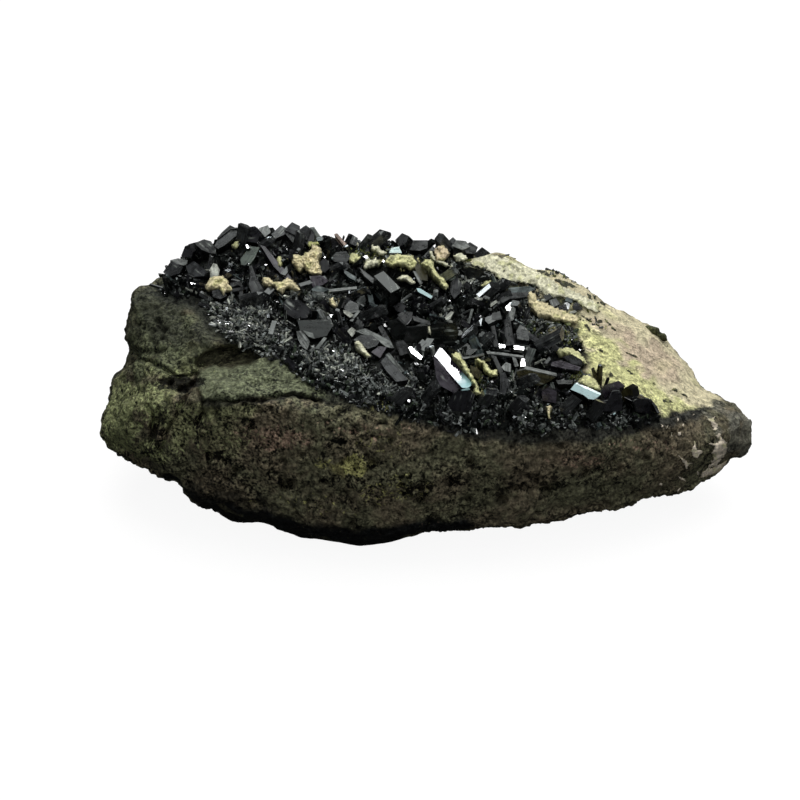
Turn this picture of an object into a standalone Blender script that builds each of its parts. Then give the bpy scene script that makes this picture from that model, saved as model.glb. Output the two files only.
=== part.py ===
"""Rough epidote: a broken block of dark rock whose sloping top carries a crust of small epidote
crystals, larger black-green epidote prisms that stand and lie on it, and cream feldspar lumps."""

import math
import random
from typing import NamedTuple

import bmesh
import bpy
from mathutils import Matrix, Vector, noise
from mathutils.bvhtree import BVHTree

# Driving dimensions, in metres. The block is 120 mm long, along X.
MM = 0.001
GAP = 0.0003
CRUST_THICKNESS = 0.0030
CRUST_LEAST_SHARE = 0.45
SHELF_NOISE_SIZE = 0.013
SHELF_NOISE_HEIGHT = 0.0030
CHIP_NOISE_SIZE = 0.0045
CHIP_NOISE_HEIGHT = 0.0014
BED_NOISE_SHARE = 0.35
RIM_CREASE = 0.8
EDGE_CREASE = 0.6
CUTTER_DEPTH = 0.010
CUTTER_SIDE = 0.200
SETTLE_START = 0.0035
SETTLE_STEP = 0.0001
FEEL_RADIUS = 0.0035

# The reference view: the eye looks along +Y and down, and one pixel of the 800-pixel picture
# is this wide at the point that the eye is aimed at.
VIEW_ELEVATION = math.radians(25)
VIEW_DISTANCE = 0.380
VIEW_AIM = Vector((-0.0048, 0.0, 0.0177))
PIXEL = 0.0001835
PICTURE_CENTRE = 400.0
SIGHT = Vector((0.0, math.cos(VIEW_ELEVATION), -math.sin(VIEW_ELEVATION)))
RIGHT = Vector((1.0, 0.0, 0.0))
PICTURE_UP = Vector((0.0, math.sin(VIEW_ELEVATION), math.cos(VIEW_ELEVATION)))
EYE = VIEW_AIM - SIGHT * VIEW_DISTANCE


class Section(NamedTuple):
    """One slice across the block at x, as (y, z) points in millimetres, front to top to back."""

    x: float
    heel: tuple
    low: tuple
    belly: tuple
    brow: tuple
    ledge: tuple
    rim: tuple
    bed_front: tuple
    bed_back: tuple
    crest: tuple
    shoulder: tuple
    back: tuple
    tail: tuple
    sole: tuple


SECTIONS = (
    Section(
        -59.4, heel=(1, 11), low=(-2.5, 11.5), belly=(-4, 12.6), brow=(-4, 14), ledge=(-2, 15.2),
        rim=(0, 15.6), bed_front=(3, 15.6), bed_back=(5, 15.2), crest=(7, 14.8), shoulder=(9, 14),
        back=(9.5, 12.5), tail=(8, 11.5), sole=(5, 11),
    ),
    Section(
        -58, heel=(-3, 10), low=(-7, 11.2), belly=(-9.5, 14.5), brow=(-9, 17.5), ledge=(-4.5, 18.2),
        rim=(0, 18.4), bed_front=(4, 18.4), bed_back=(7, 18), crest=(10, 17), shoulder=(13, 15.5),
        back=(15.5, 13), tail=(13, 10.5), sole=(6, 9.5),
    ),
    Section(
        -54, heel=(-5, 8.5), low=(-10.5, 9.8), belly=(-14, 16), brow=(-12.5, 22.5), ledge=(-6.5, 27),
        rim=(2, 35.5), bed_front=(6, 36), bed_back=(10, 34.5), crest=(13, 33), shoulder=(18, 29),
        back=(22, 17), tail=(18, 8), sole=(10, 7),
    ),
    Section(
        -47, heel=(-9, 5.5), low=(-16, 8), belly=(-20.5, 17), brow=(-19.5, 25), ledge=(-12.5, 28.5),
        rim=(1.5, 37.5), bed_front=(7, 38.4), bed_back=(11.5, 38.8), crest=(15.5, 37.8),
        shoulder=(21.5, 33.5), back=(26.5, 18.5), tail=(21, 5), sole=(12, 2),
    ),
    Section(
        -38, heel=(-11.5, -2.5), low=(-22, 7), belly=(-26, 19), brow=(-25, 30), ledge=(-17, 31),
        rim=(-5, 35.3), bed_front=(3, 37.8), bed_back=(10, 40.2), crest=(17.5, 41.7), shoulder=(25, 38),
        back=(30.5, 20), tail=(25.5, 3), sole=(16, -3.5),
    ),
    Section(
        -27, heel=(-16, -3), low=(-27.5, 7), belly=(-30, 20), brow=(-29, 31), ledge=(-22.5, 32),
        rim=(-15.5, 33.5), bed_front=(-4, 36.5), bed_back=(7.5, 40.5), crest=(18.5, 42.6),
        shoulder=(27, 38.5), back=(34.2, 20), tail=(27, 3), sole=(18, -4),
    ),
    Section(
        -12, heel=(-24, -4), low=(-30.5, 7.5), belly=(-32, 19), brow=(-31, 27.5), ledge=(-29.3, 30),
        rim=(-26, 31.5), bed_front=(-11, 34.5), bed_back=(4, 38), crest=(18.5, 40.4), shoulder=(28, 36.5),
        back=(34.8, 19), tail=(27.5, 3), sole=(18, -4),
    ),
    Section(
        4, heel=(-14, -3), low=(-30.5, 8), belly=(-32, 18), brow=(-31.5, 24.5), ledge=(-30.5, 27),
        rim=(-28, 29), bed_front=(-12.5, 32), bed_back=(2.5, 36.8), crest=(17, 41), shoulder=(27, 36.5),
        back=(33.8, 18), tail=(26.5, 3), sole=(17, -4),
    ),
    Section(
        20, heel=(-11, -2), low=(-27, 6), belly=(-29, 15.8), brow=(-29, 22.4), ledge=(-28.4, 25),
        rim=(-26, 26.7), bed_front=(-12, 29.5), bed_back=(1, 33.5), crest=(13.5, 39.2),
        shoulder=(23.5, 32.5), back=(28, 16), tail=(23, 3), sole=(14.5, -4),
    ),
    Section(
        34, heel=(-9, 1.5), low=(-21.2, 6), belly=(-23.8, 13.7), brow=(-24.1, 19.6),
        ledge=(-23.2, 22.2), rim=(-20.3, 24.1), bed_front=(-10, 27.2), bed_back=(0, 30.8),
        crest=(10.3, 36.8), shoulder=(18.5, 31.5), back=(23, 14.5), tail=(18, 4), sole=(10, -0.5),
    ),
    Section(
        45, heel=(-6.5, 3.2), low=(-14.8, 5), belly=(-17.8, 12), brow=(-18.3, 17), ledge=(-17.2, 19.7),
        rim=(-14.3, 21.5), bed_front=(-8, 24), bed_back=(-1, 26.2), crest=(6.2, 27.4),
        shoulder=(12.8, 23.5), back=(15.5, 12.8), tail=(11, 5.3), sole=(6, 3),
    ),
    Section(
        53.5, heel=(-3.5, 5.8), low=(-9, 6.2), belly=(-11.6, 11), brow=(-12.2, 14.8), ledge=(-11.6, 17.4),
        rim=(-9, 18.8), bed_front=(-5.5, 18.4), bed_back=(-2, 17.6), crest=(1.8, 16.6), shoulder=(7, 14.8),
        back=(8.5, 12.5), tail=(5.3, 8), sole=(3, 6.6),
    ),
    Section(
        60.2, heel=(-3, 7.8), low=(-5, 7.6), belly=(-6.8, 10.2), brow=(-7.4, 13), ledge=(-6.8, 15.4),
        rim=(-5, 16.6), bed_front=(-3, 16.6), bed_back=(-1, 16.2), crest=(1, 15.4), shoulder=(3.2, 14.4),
        back=(3.8, 12), tail=(2, 9), sole=(0, 8),
    ),
)
RAILS = Section._fields[1:]
BED_RAILS = ("bed_front", "bed_back")

# The edge of the crust, as picture points that run round it from its left end along the rim.
CRUST_OUTLINE = (
    (150, 264), (166, 280), (186, 300), (203, 318), (218, 344), (262, 348), (300, 372), (340, 392),
    (400, 412), (470, 426), (600, 424), (662, 418), (622, 392), (580, 368), (590, 356), (580, 326),
    (546, 306), (512, 284), (478, 262), (452, 240), (440, 200), (140, 200),
)
CRUST_BACK_Y = 0.0225
CRUST_BACK_WAVE = 0.004
CRUST_BACK_WAVE_SIZE = 0.012
CRUST_LEFT_X = -0.0455
CRUST_LEAST_RISE = 0.4


class Prism(NamedTuple):
    """A large crystal, from its foot to its tip as seen in the picture, and its real size in mm.
    A lying one has its tip further from the eye than its foot."""

    name: str
    foot: tuple
    tip: tuple
    length: float
    width: float
    thickness: float
    roll: float = 0.0
    point: float = 0.5
    lying: bool = False


PRISMS = (
    Prism("prism_corner_block", (181, 279), (180, 262), 4.6, 3.0, 2.2, 10, 0.2),
    Prism("prism_shoulder_block", (207, 268), (206, 247), 5.4, 3.3, 2.4, 8, 0.2),
    Prism("prism_shoulder_log", (220, 248), (236, 229), 5.6, 1.9, 1.6, 35, 0.4, lying=True),
    Prism("prism_glassy", (216, 277), (214, 264), 3.2, 1.3, 1.0, 20, 0.7),
    Prism("prism_crest_green", (246, 268), (256, 250), 4.6, 2.2, 1.4, 15, 0.4),
    Prism("prism_long_lath", (286, 276), (260, 243), 7.9, 1.1, 1.0, 40, 0.3, lying=True),
    Prism("prism_fan_grey", (257, 294), (250, 266), 6.4, 1.8, 1.2, -10, 0.5),
    Prism("prism_pin_left", (242, 304), (240, 290), 3.4, 0.9, 0.8, 20, 0.5),
    Prism("prism_peak_left", (291, 246), (283, 227), 4.8, 2.2, 1.6, 30, 0.6),
    Prism("prism_peak_mid", (312, 243), (318, 230), 3.6, 1.6, 1.2, -25, 0.6),
    Prism("prism_crest_bright", (346, 246), (335, 234), 3.6, 1.2, 1.0, 45, 0.4, lying=True),
    Prism("prism_under_lump", (307, 281), (328, 276), 4.4, 1.2, 1.0, 30, 0.4, lying=True),
    Prism("prism_round_dark", (326, 274), (326, 259), 3.8, 2.2, 1.9, 15, 0.5),
    Prism("prism_needle_left", (329, 291), (356, 287), 5.2, 0.8, 0.7, 20, 0.3, lying=True),
    Prism("prism_black_slope", (310, 318), (286, 303), 6.0, 3.4, 2.2, 20, 0.3, lying=True),
    Prism("prism_black_lower", (330, 336), (293, 324), 7.4, 3.0, 2.2, -15, 0.3, lying=True),
    Prism("prism_splinter_front", (304, 347), (298, 330), 4.2, 1.5, 0.9, -20, 0.6),
    Prism("prism_teal_left", (356, 281), (344, 271), 3.2, 1.1, 0.9, 30, 0.4, lying=True),
    Prism("prism_grey_left", (375, 282), (359, 269), 4.2, 1.0, 0.9, 30, 0.4, lying=True),
    Prism("prism_teal_pin", (372, 307), (370, 292), 3.6, 1.1, 0.9, 15, 0.5),
    Prism("prism_disc_dark", (351, 313), (349, 300), 3.4, 2.6, 1.4, 5, 0.3),
    Prism("prism_wide_slab", (394, 349), (358, 333), 7.4, 2.6, 1.5, 25, 0.4, lying=True),
    Prism("prism_mid_block", (402, 342), (403, 308), 8.0, 4.0, 3.0, 15, 0.4),
    Prism("prism_lower_slab", (404, 380), (384, 353), 6.6, 3.2, 1.6, 30, 0.3, lying=True),
    Prism("prism_white_needle", (424, 361), (410, 348), 3.8, 0.8, 0.7, 35, 0.4, lying=True),
    Prism("prism_hero_white", (466, 392), (437, 351), 10.0, 2.4, 2.0, 42, 0.3, lying=True),
    Prism("prism_black_centre", (443, 347), (443, 325), 5.6, 4.6, 2.2, 0, 0.2),
    Prism("prism_crest_dark", (420, 257), (419, 242), 4.4, 3.0, 1.8, 5, 0.3),
    Prism("prism_teal_bar", (432, 299), (417, 289), 3.6, 1.0, 0.8, 30, 0.4, lying=True),
    Prism("prism_grey_bar", (431, 324), (416, 317), 3.4, 1.0, 0.8, 30, 0.4, lying=True),
    Prism("prism_black_mid", (395, 301), (377, 282), 5.6, 3.0, 2.0, 25, 0.3, lying=True),
    Prism("prism_upright_left", (466, 324), (475, 308), 3.9, 0.9, 0.8, 10, 0.5),
    Prism("prism_upright_thin", (497, 349), (491, 325), 5.6, 0.9, 0.8, 15, 0.4),
    Prism("prism_upright_wide", (512, 348), (507, 316), 7.2, 1.7, 1.3, 20, 0.4),
    Prism("prism_white_top", (513, 322), (506, 305), 4.2, 1.7, 1.3, 40, 0.4),
    Prism("prism_right_block", (524, 341), (521, 325), 4.2, 2.8, 1.8, 10, 0.4),
    Prism("prism_long_needle", (487, 353), (523, 356), 6.8, 0.7, 0.6, 30, 0.3, lying=True),
    Prism("prism_short_needle", (463, 358), (484, 354), 4.2, 0.8, 0.7, 30, 0.3, lying=True),
    Prism("prism_edge_log", (557, 378), (527, 368), 6.4, 2.0, 1.6, 30, 0.4, lying=True),
    Prism("prism_right_log", (582, 375), (546, 361), 7.4, 2.0, 1.6, 20, 0.4, lying=True),
    Prism("prism_hero_teal", (600, 404), (573, 392), 6.0, 2.4, 1.8, 30, 0.3, lying=True),
    Prism("prism_black_upright", (599, 384), (597, 365), 4.6, 1.6, 1.3, 10, 0.5),
    Prism("prism_rim_knob", (610, 410), (607, 388), 5.0, 2.8, 2.2, 10, 0.5),
    Prism("prism_rim_post", (628, 414), (625, 392), 4.8, 2.2, 1.9, -10, 0.5),
    Prism("prism_rim_end", (650, 416), (646, 396), 4.6, 2.6, 2.0, 10, 0.5),
    Prism("prism_flank_knob", (659, 346), (655, 329), 3.8, 3.4, 2.6, -20, 0.4),
)


class Lump(NamedTuple):
    """A cream feldspar lump, by its middle in the picture and its real size in mm."""

    name: str
    middle: tuple
    width: float
    depth: float
    height: float
    turn: float = 0.0


LUMPS = (
    Lump("feldspar_left", (218, 288), 4.6, 4.6, 2.4, -20),
    Lump("feldspar_strip", (279, 289), 8.4, 2.4, 2.0, -16),
    Lump("feldspar_main", (307, 260), 5.8, 5.6, 3.2, 0),
    Lump("feldspar_crest_left", (372, 262), 3.0, 2.8, 1.8, 0),
    Lump("feldspar_crest_mid", (396, 266), 5.2, 3.0, 2.2, 10),
    Lump("feldspar_crest_right", (438, 274), 2.4, 7.6, 2.0, 30),
    Lump("feldspar_chip_front", (363, 357), 1.8, 4.4, 1.8, 27),
    Lump("feldspar_beside_hero", (471, 374), 1.8, 10.6, 1.8, 24),
    Lump("feldspar_arc", (489, 369), 1.8, 5.0, 1.6, 43),
    Lump("feldspar_right", (534, 303), 2.4, 6.4, 1.8, 19),
)


def clear_scene():
    for item in list(bpy.data.objects):
        bpy.data.objects.remove(item, do_unlink=True)


def collection(name):
    made = bpy.data.collections.new(name)
    bpy.context.scene.collection.children.link(made)
    return made


def material(name, colour, roughness):
    made = bpy.data.materials.new(name)
    made.use_nodes = True
    shader = made.node_tree.nodes["Principled BSDF"]
    shader.inputs["Base Color"].default_value = (*colour, 1.0)
    shader.inputs["Roughness"].default_value = roughness
    shader.inputs["Metallic"].default_value = 0.0
    return made


def add_object(name, mesh, group, finish=None):
    made = bpy.data.objects.new(name, mesh)
    group.objects.link(made)
    if finish:
        mesh.materials.append(finish)
    return made


def mesh_of(bm, name):
    mesh = bpy.data.meshes.new(name)
    bm.to_mesh(mesh)
    bm.free()
    return mesh


def as_cutter(item):
    item.hide_render = True
    item.display_type = "WIRE"


def evaluated_bmesh(item):
    """The object's mesh as its modifiers leave it, in world space."""
    depsgraph = bpy.context.evaluated_depsgraph_get()
    bm = bmesh.new()
    bm.from_object(item, depsgraph)
    bm.transform(item.matrix_world)
    return bm


def picture_point(place):
    """Where a place in space is seen in the picture."""
    offset = place - EYE
    reach = offset.dot(SIGHT) / VIEW_DISTANCE
    across = offset.dot(RIGHT) / reach / PIXEL
    up = offset.dot(PICTURE_UP) / reach / PIXEL
    return PICTURE_CENTRE + across, PICTURE_CENTRE - up


def sight_line(spot):
    """The direction from the eye through a picture point."""
    across = (spot[0] - PICTURE_CENTRE) * PIXEL
    up = (PICTURE_CENTRE - spot[1]) * PIXEL
    return (SIGHT * VIEW_DISTANCE + RIGHT * across + PICTURE_UP * up).normalized()


def inside(spot, outline):
    """Whether a picture point lies inside an outline, by counting the edges crossed."""
    crossed = False
    for start, end in zip(outline, outline[1:] + outline[:1]):
        if (start[1] > spot[1]) != (end[1] > spot[1]):
            share = (spot[1] - start[1]) / (end[1] - start[1])
            if spot[0] < start[0] + share * (end[0] - start[0]):
                crossed = not crossed
    return crossed


def rock_cage():
    """The block's coarse cage: one ring for each section, lofted along X and closed at both ends."""
    bm = bmesh.new()
    crease = bm.edges.layers.float.new("crease_edge")
    group = bm.verts.layers.deform.verify()
    rings = []
    for section in SECTIONS:
        ring = []
        for rail in RAILS:
            y, z = getattr(section, rail)
            corner = bm.verts.new((section.x * MM, y * MM, z * MM))
            corner[group][0] = BED_NOISE_SHARE if rail in BED_RAILS else 1.0
            ring.append(corner)
        rings.append(ring)
    count = len(RAILS)
    for near, far in zip(rings, rings[1:]):
        for k in range(count):
            after = (k + 1) % count
            bm.faces.new((near[k], near[after], far[after], far[k]))
    bm.faces.new(rings[0])
    bm.faces.new(rings[-1])
    for rail, sharpness in (("rim", RIM_CREASE), ("brow", EDGE_CREASE), ("low", EDGE_CREASE)):
        k = RAILS.index(rail)
        for near, far in zip(rings, rings[1:]):
            bm.edges.get((near[k], far[k]))[crease] = sharpness
    bmesh.ops.recalc_face_normals(bm, faces=bm.faces)
    return mesh_of(bm, "matrix")


def roughen(item, name, size, height):
    """Moves the surface in and out by a cloudy pattern of the given size."""
    pattern = bpy.data.textures.new(name, "CLOUDS")
    pattern.noise_scale = size
    pattern.noise_depth = 1
    push = item.modifiers.new(name, "DISPLACE")
    push.texture = pattern
    push.texture_coords = "GLOBAL"
    push.strength = height
    push.mid_level = 0.5
    push.vertex_group = "broken"


def make_matrix(parts, cutters):
    """The host rock, cut off flat where it rests."""
    rock = add_object("matrix", rock_cage(), parts, material("rock", (0.055, 0.050, 0.030), 0.85))
    rock.vertex_groups.new(name="broken")
    smooth = rock.modifiers.new("rounding", "SUBSURF")
    smooth.levels = 2
    smooth.render_levels = 2
    roughen(rock, "shelves", SHELF_NOISE_SIZE, SHELF_NOISE_HEIGHT)
    roughen(rock, "chips", CHIP_NOISE_SIZE, CHIP_NOISE_HEIGHT)
    bm = bmesh.new()
    bmesh.ops.create_cube(bm, size=1.0)
    bmesh.ops.scale(bm, vec=(CUTTER_SIDE, CUTTER_SIDE, CUTTER_DEPTH), verts=bm.verts)
    bmesh.ops.translate(bm, vec=(0.0, 0.0, -CUTTER_DEPTH / 2), verts=bm.verts)
    floor = add_object("rest_plane_cutter", mesh_of(bm, "rest_plane_cutter"), cutters)
    as_cutter(floor)
    rest = rock.modifiers.new("rest_face", "BOOLEAN")
    rest.operation = "DIFFERENCE"
    rest.object = floor
    facets = rock.modifiers.new("facets", "TRIANGULATE")
    facets.min_vertices = 4
    return rock


def make_crust(parts, rock):
    """The druse: a crust that follows the bed a gap above the rock and reaches the small crystals'
    tips, so its thickness changes from point to point."""
    bm = evaluated_bmesh(rock)
    spare = []
    for face in bm.faces:
        middle = face.calc_center_median()
        behind = CRUST_BACK_Y + CRUST_BACK_WAVE * noise.noise(middle / CRUST_BACK_WAVE_SIZE)
        on_bed = face.normal.z > CRUST_LEAST_RISE and middle.y < behind and middle.x > CRUST_LEFT_X
        if not (on_bed and inside(picture_point(middle), CRUST_OUTLINE)):
            spare.append(face)
    bmesh.ops.delete(bm, geom=spare, context="FACES")
    keep_largest_patch(bm)
    normals = [corner.normal.copy() for corner in bm.verts]
    for corner, normal in zip(bm.verts, normals):
        corner.co += normal * GAP
    layer = bm.verts.layers.deform.verify()
    draw = random.Random(7)
    for corner in bm.verts:
        corner[layer][0] = draw.uniform(0.0, 1.0)
    crust = add_object("druse", mesh_of(bm, "druse"), parts, material("druse", (0.012, 0.018, 0.012), 0.3))
    crust.vertex_groups.clear()
    crust.vertex_groups.new(name="tips")
    shell = crust.modifiers.new("small_crystals", "SOLIDIFY")
    shell.thickness = CRUST_THICKNESS
    shell.offset = 1.0
    shell.vertex_group = "tips"
    shell.thickness_vertex_group = CRUST_LEAST_SHARE
    return crust


def keep_largest_patch(bm):
    """Deletes every separate patch of faces but the largest, and corners that hang by one point."""
    patches = []
    left = set(bm.faces)
    while left:
        patch = {left.pop()}
        edge_of_patch = list(patch)
        while edge_of_patch:
            face = edge_of_patch.pop()
            for edge in face.edges:
                for near in edge.link_faces:
                    if near in left:
                        left.remove(near)
                        patch.add(near)
                        edge_of_patch.append(near)
        patches.append(patch)
    patches.sort(key=len)
    spare = [face for patch in patches[:-1] for face in patch]
    bmesh.ops.delete(bm, geom=spare, context="FACES")
    pinched = pinched_faces(bm)
    while pinched:
        bmesh.ops.delete(bm, geom=pinched, context="FACES")
        pinched = pinched_faces(bm)


def pinched_faces(bm):
    """Faces round a corner where the patch touches itself at one point only."""
    found = set()
    for corner in bm.verts:
        if sum(edge.is_boundary for edge in corner.link_edges) > 2:
            found.update(corner.link_faces)
    return list(found)


class Ground(NamedTuple):
    """What the larger pieces rest on."""

    crust: BVHTree
    rock: BVHTree

    def seen_at(self, spot):
        """The nearest place on the crust or the rock that shows at a picture point."""
        ray = sight_line(spot)
        hits = [tree.ray_cast(EYE, ray) for tree in self]
        hits = [hit for hit in hits if hit[0] is not None]
        return min(hits, key=lambda hit: hit[3])[0]

    def slope_at(self, place):
        """The mean direction that the ground faces round a place."""
        total = Vector((0.0, 0.0, 0.0))
        for tree in self:
            for hit in tree.find_nearest_range(place, FEEL_RADIUS):
                if hit[1].z > 0:
                    total += hit[1]
        return total.normalized()

    def touches(self, bm):
        tree = BVHTree.FromBMesh(bm)
        return any(tree.overlap(other) for other in self)


def settle(bm, up, ground):
    """Lowers a piece on to the ground along the slope's own upright, and leaves the gap."""
    bmesh.ops.translate(bm, vec=up * SETTLE_START, verts=bm.verts)
    for _ in range(int(2 * SETTLE_START / SETTLE_STEP)):
        bmesh.ops.translate(bm, vec=-up * SETTLE_STEP, verts=bm.verts)
        if ground.touches(bm):
            break
    bmesh.ops.translate(bm, vec=up * (SETTLE_STEP + GAP), verts=bm.verts)


def prism_axis(prism, place):
    """The crystal's direction: the picture gives two parts of it, and its length gives the third."""
    reach = (place - EYE).dot(SIGHT) / VIEW_DISTANCE
    across = (prism.tip[0] - prism.foot[0]) * PIXEL * reach
    up = (prism.foot[1] - prism.tip[1]) * PIXEL * reach
    towards = math.sqrt(max((prism.length * MM) ** 2 - across**2 - up**2, 0.0))
    if prism.lying:
        towards = -towards
    return (RIGHT * across + PICTURE_UP * up - SIGHT * towards).normalized()


def prism_corners(prism, axis, slope):
    """The points of a six-sided prism with a chisel end and a foot that is parallel to the ground."""
    broad = -SIGHT - axis * (-SIGHT).dot(axis)
    broad.normalize()
    broad.rotate(Matrix.Rotation(math.radians(prism.roll), 3, axis))
    side = axis.cross(broad)
    half_width = prism.width * MM / 2
    half_depth = prism.thickness * MM / 2
    length = prism.length * MM
    shoulder = length - half_depth * 2 * prism.point
    rise = axis.dot(slope)
    corners = []
    for across, out in ((1.0, 0.0), (0.68, 1.0), (-0.68, 1.0), (-1.0, 0.0), (-0.68, -1.0), (0.68, -1.0)):
        ring = side * (across * half_width) + broad * (out * half_depth)
        foot = ring - axis * (ring.dot(slope) / rise) if rise > 0.4 else ring.copy()
        corners.append(foot)
        corners.append(ring + axis * (shoulder + half_depth * 0.25 * out))
    for across in (-0.62, 0.5):
        corners.append(side * (across * half_width) + axis * (length + across * half_width * 0.2))
    return corners


def prism_bmesh(prism, ground):
    place = ground.seen_at(prism.foot)
    slope = ground.slope_at(place)
    axis = prism_axis(prism, place)
    bm = bmesh.new()
    for corner in prism_corners(prism, axis, slope):
        bm.verts.new(place + corner)
    made = bmesh.ops.convex_hull(bm, input=bm.verts)
    loose = [item for item in made["geom_interior"] if isinstance(item, bmesh.types.BMVert)]
    bmesh.ops.delete(bm, geom=loose, context="VERTS")
    bmesh.ops.recalc_face_normals(bm, faces=bm.faces)
    settle(bm, slope, ground)
    return bm


def lump_bmesh(lump, ground):
    """A knobbly flattened lump that lies along the bed."""
    place = ground.seen_at(lump.middle)
    slope = ground.slope_at(place)
    frame = slope.to_track_quat("Z", "Y").to_matrix().to_4x4()
    turn = Matrix.Rotation(math.radians(lump.turn), 4, "Z")
    size = Matrix.Diagonal((lump.width * MM / 2, lump.depth * MM / 2, lump.height * MM / 2, 1.0))
    bm = bmesh.new()
    bmesh.ops.create_icosphere(bm, subdivisions=2, radius=1.0)
    for corner in bm.verts:
        corner.co *= 1.0 + 0.45 * noise.noise(corner.co * 1.7 + place * 900)
    bm.transform(Matrix.Translation(place) @ frame @ turn @ size)
    settle(bm, slope, ground)
    return bm


def overlapping_groups(shapes):
    """Sets of names whose crystals run into each other, directly or through a neighbour."""
    trees = {name: BVHTree.FromBMesh(bm) for name, bm in shapes.items()}
    names = list(shapes)
    group_of = {name: {name} for name in names}
    for k, name in enumerate(names):
        for other in names[k + 1:]:
            if trees[name].overlap(trees[other]) and group_of[name] is not group_of[other]:
                merged = group_of[name] | group_of[other]
                for member in merged:
                    group_of[member] = merged
    groups = []
    for name in names:
        members = sorted(group_of[name], key=names.index)
        if members not in groups:
            groups.append(members)
    return groups


def make_prisms(parts, cutters, ground):
    """The large crystals. Those that have grown into each other are joined in one solid."""
    shapes = {prism.name: prism_bmesh(prism, ground) for prism in PRISMS}
    for members in overlapping_groups(shapes):
        first = members[0]
        made = add_object(
            first, mesh_of(shapes[first], first), parts, material(first, (0.010, 0.016, 0.010), 0.12)
        )
        for name in members[1:]:
            grown_in = add_object(name + "_joined", mesh_of(shapes[name], name), cutters)
            as_cutter(grown_in)
            union = made.modifiers.new(name, "BOOLEAN")
            union.operation = "UNION"
            union.object = grown_in


def make_lumps(parts, ground):
    for lump in LUMPS:
        bm = lump_bmesh(lump, ground)
        mesh = mesh_of(bm, lump.name)
        mesh.shade_smooth()
        add_object(lump.name, mesh, parts, material(lump.name, (0.62, 0.53, 0.33), 0.7))


def build():
    clear_scene()
    parts = collection("rough_epidote")
    cutters = collection("cutters")
    rock = make_matrix(parts, cutters)
    crust = make_crust(parts, rock)
    ground = Ground(BVHTree.FromBMesh(evaluated_bmesh(crust)), BVHTree.FromBMesh(evaluated_bmesh(rock)))
    make_lumps(parts, ground)
    make_prisms(parts, cutters, ground)


build()
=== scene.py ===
"""Rough epidote, its looks: broken host rock with pits and a ledge, a druse of thousands of small
dark crystals, larger glossy prisms that stand and lie in it, and cream feldspar between them."""

import math
import random
from typing import NamedTuple

import bmesh
import bpy
import numpy as np
from mathutils import Matrix, Vector, noise
from mathutils.bvhtree import BVHTree

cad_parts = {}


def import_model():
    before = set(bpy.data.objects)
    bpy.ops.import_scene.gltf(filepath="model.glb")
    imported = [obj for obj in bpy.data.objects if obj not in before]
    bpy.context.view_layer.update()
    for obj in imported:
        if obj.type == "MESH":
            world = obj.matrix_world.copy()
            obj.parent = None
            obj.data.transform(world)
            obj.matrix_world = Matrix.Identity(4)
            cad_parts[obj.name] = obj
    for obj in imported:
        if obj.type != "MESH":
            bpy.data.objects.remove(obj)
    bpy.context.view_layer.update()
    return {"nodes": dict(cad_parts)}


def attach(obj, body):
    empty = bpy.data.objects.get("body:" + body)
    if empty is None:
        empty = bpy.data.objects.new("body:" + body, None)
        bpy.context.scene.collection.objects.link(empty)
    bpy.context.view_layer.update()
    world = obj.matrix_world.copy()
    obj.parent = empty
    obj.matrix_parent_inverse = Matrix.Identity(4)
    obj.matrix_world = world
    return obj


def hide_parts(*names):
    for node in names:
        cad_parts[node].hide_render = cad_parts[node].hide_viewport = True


# Sizes are in metres, places in the picture in pixels of the 800-pixel view.
MM = 0.001
ROCK_STEP = 0.50 * MM
# The crystal bed: the rock that lies this near to the solid crust, fading over a little more.
BED_REACH = 0.62 * MM
BED_FADE = 0.6 * MM
BED_FEEL = 4.0 * MM
BED_END_SOFT = 5.0
# How far a small crystal's tip may stand above the rock.
CRUST_DEPTH = 3.3 * MM

# The view: the eye looks along +Y and down, and one pixel is this wide at the aim.
VIEW_ELEVATION = math.radians(25)
VIEW_DISTANCE = 0.380
VIEW_AIM = Vector((-0.0048, 0.0, 0.0177))
PIXEL = 0.0001835
PICTURE_SIDE = 800
SENSOR = 36.0
SIGHT = Vector((0.0, math.cos(VIEW_ELEVATION), -math.sin(VIEW_ELEVATION)))
RIGHT = Vector((1.0, 0.0, 0.0))
PICTURE_UP = Vector((0.0, math.sin(VIEW_ELEVATION), math.cos(VIEW_ELEVATION)))
EYE = VIEW_AIM - SIGHT * VIEW_DISTANCE


class Blotch(NamedTuple):
    """A patch of colour or relief: an ellipse in the picture with a broken edge."""

    middle: tuple
    reach: tuple
    strength: float = 1.0
    turn: float = 0.0


class Nudge(NamedTuple):
    """A move of the surface around a picture point: its middle, its reach and how far, in pixels."""

    middle: tuple
    reach: float
    move: tuple


class Region(NamedTuple):
    """A patch of colour with an outline given in the picture."""

    outline: tuple
    soft: float = 3.0
    strength: float = 1.0


class Stain(NamedTuple):
    """Grains of another colour that lie scattered over patches of the rock."""

    colour: tuple
    patches: tuple


class Coat(NamedTuple):
    """One colour of the rock and the patches that have it."""

    colour: tuple
    ragged: float
    grain: float
    patches: tuple


# The rock's colours.
BROWN = (0.132, 0.110, 0.071)
OLIVE = (0.110, 0.108, 0.064)
BACK_OLIVE = (0.085, 0.085, 0.052)
# The bed's near black: the dark crust's colour, and painted shade in the gaps between the crystals.
BED_BLACK_AND_SHADE = (0.006, 0.007, 0.006)
MOSS = (0.195, 0.208, 0.100)
SLOPE_OLIVE = (0.048, 0.052, 0.033)
LEFT_OLIVE = (0.098, 0.110, 0.060)
# The ledge's grey-green, lightened as painted light where the ledge faces up.
LEDGE_GREY_AND_LIGHT = (0.130, 0.146, 0.084)
RED_BROWN = (0.200, 0.145, 0.100)
YELLOW_GREEN = (0.300, 0.270, 0.080)
# The dark band under the crystal rim: dark crust, with painted shadow where the crystals overhang it.
RIM_DARK_AND_SHADE = (0.030, 0.031, 0.026)
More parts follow.
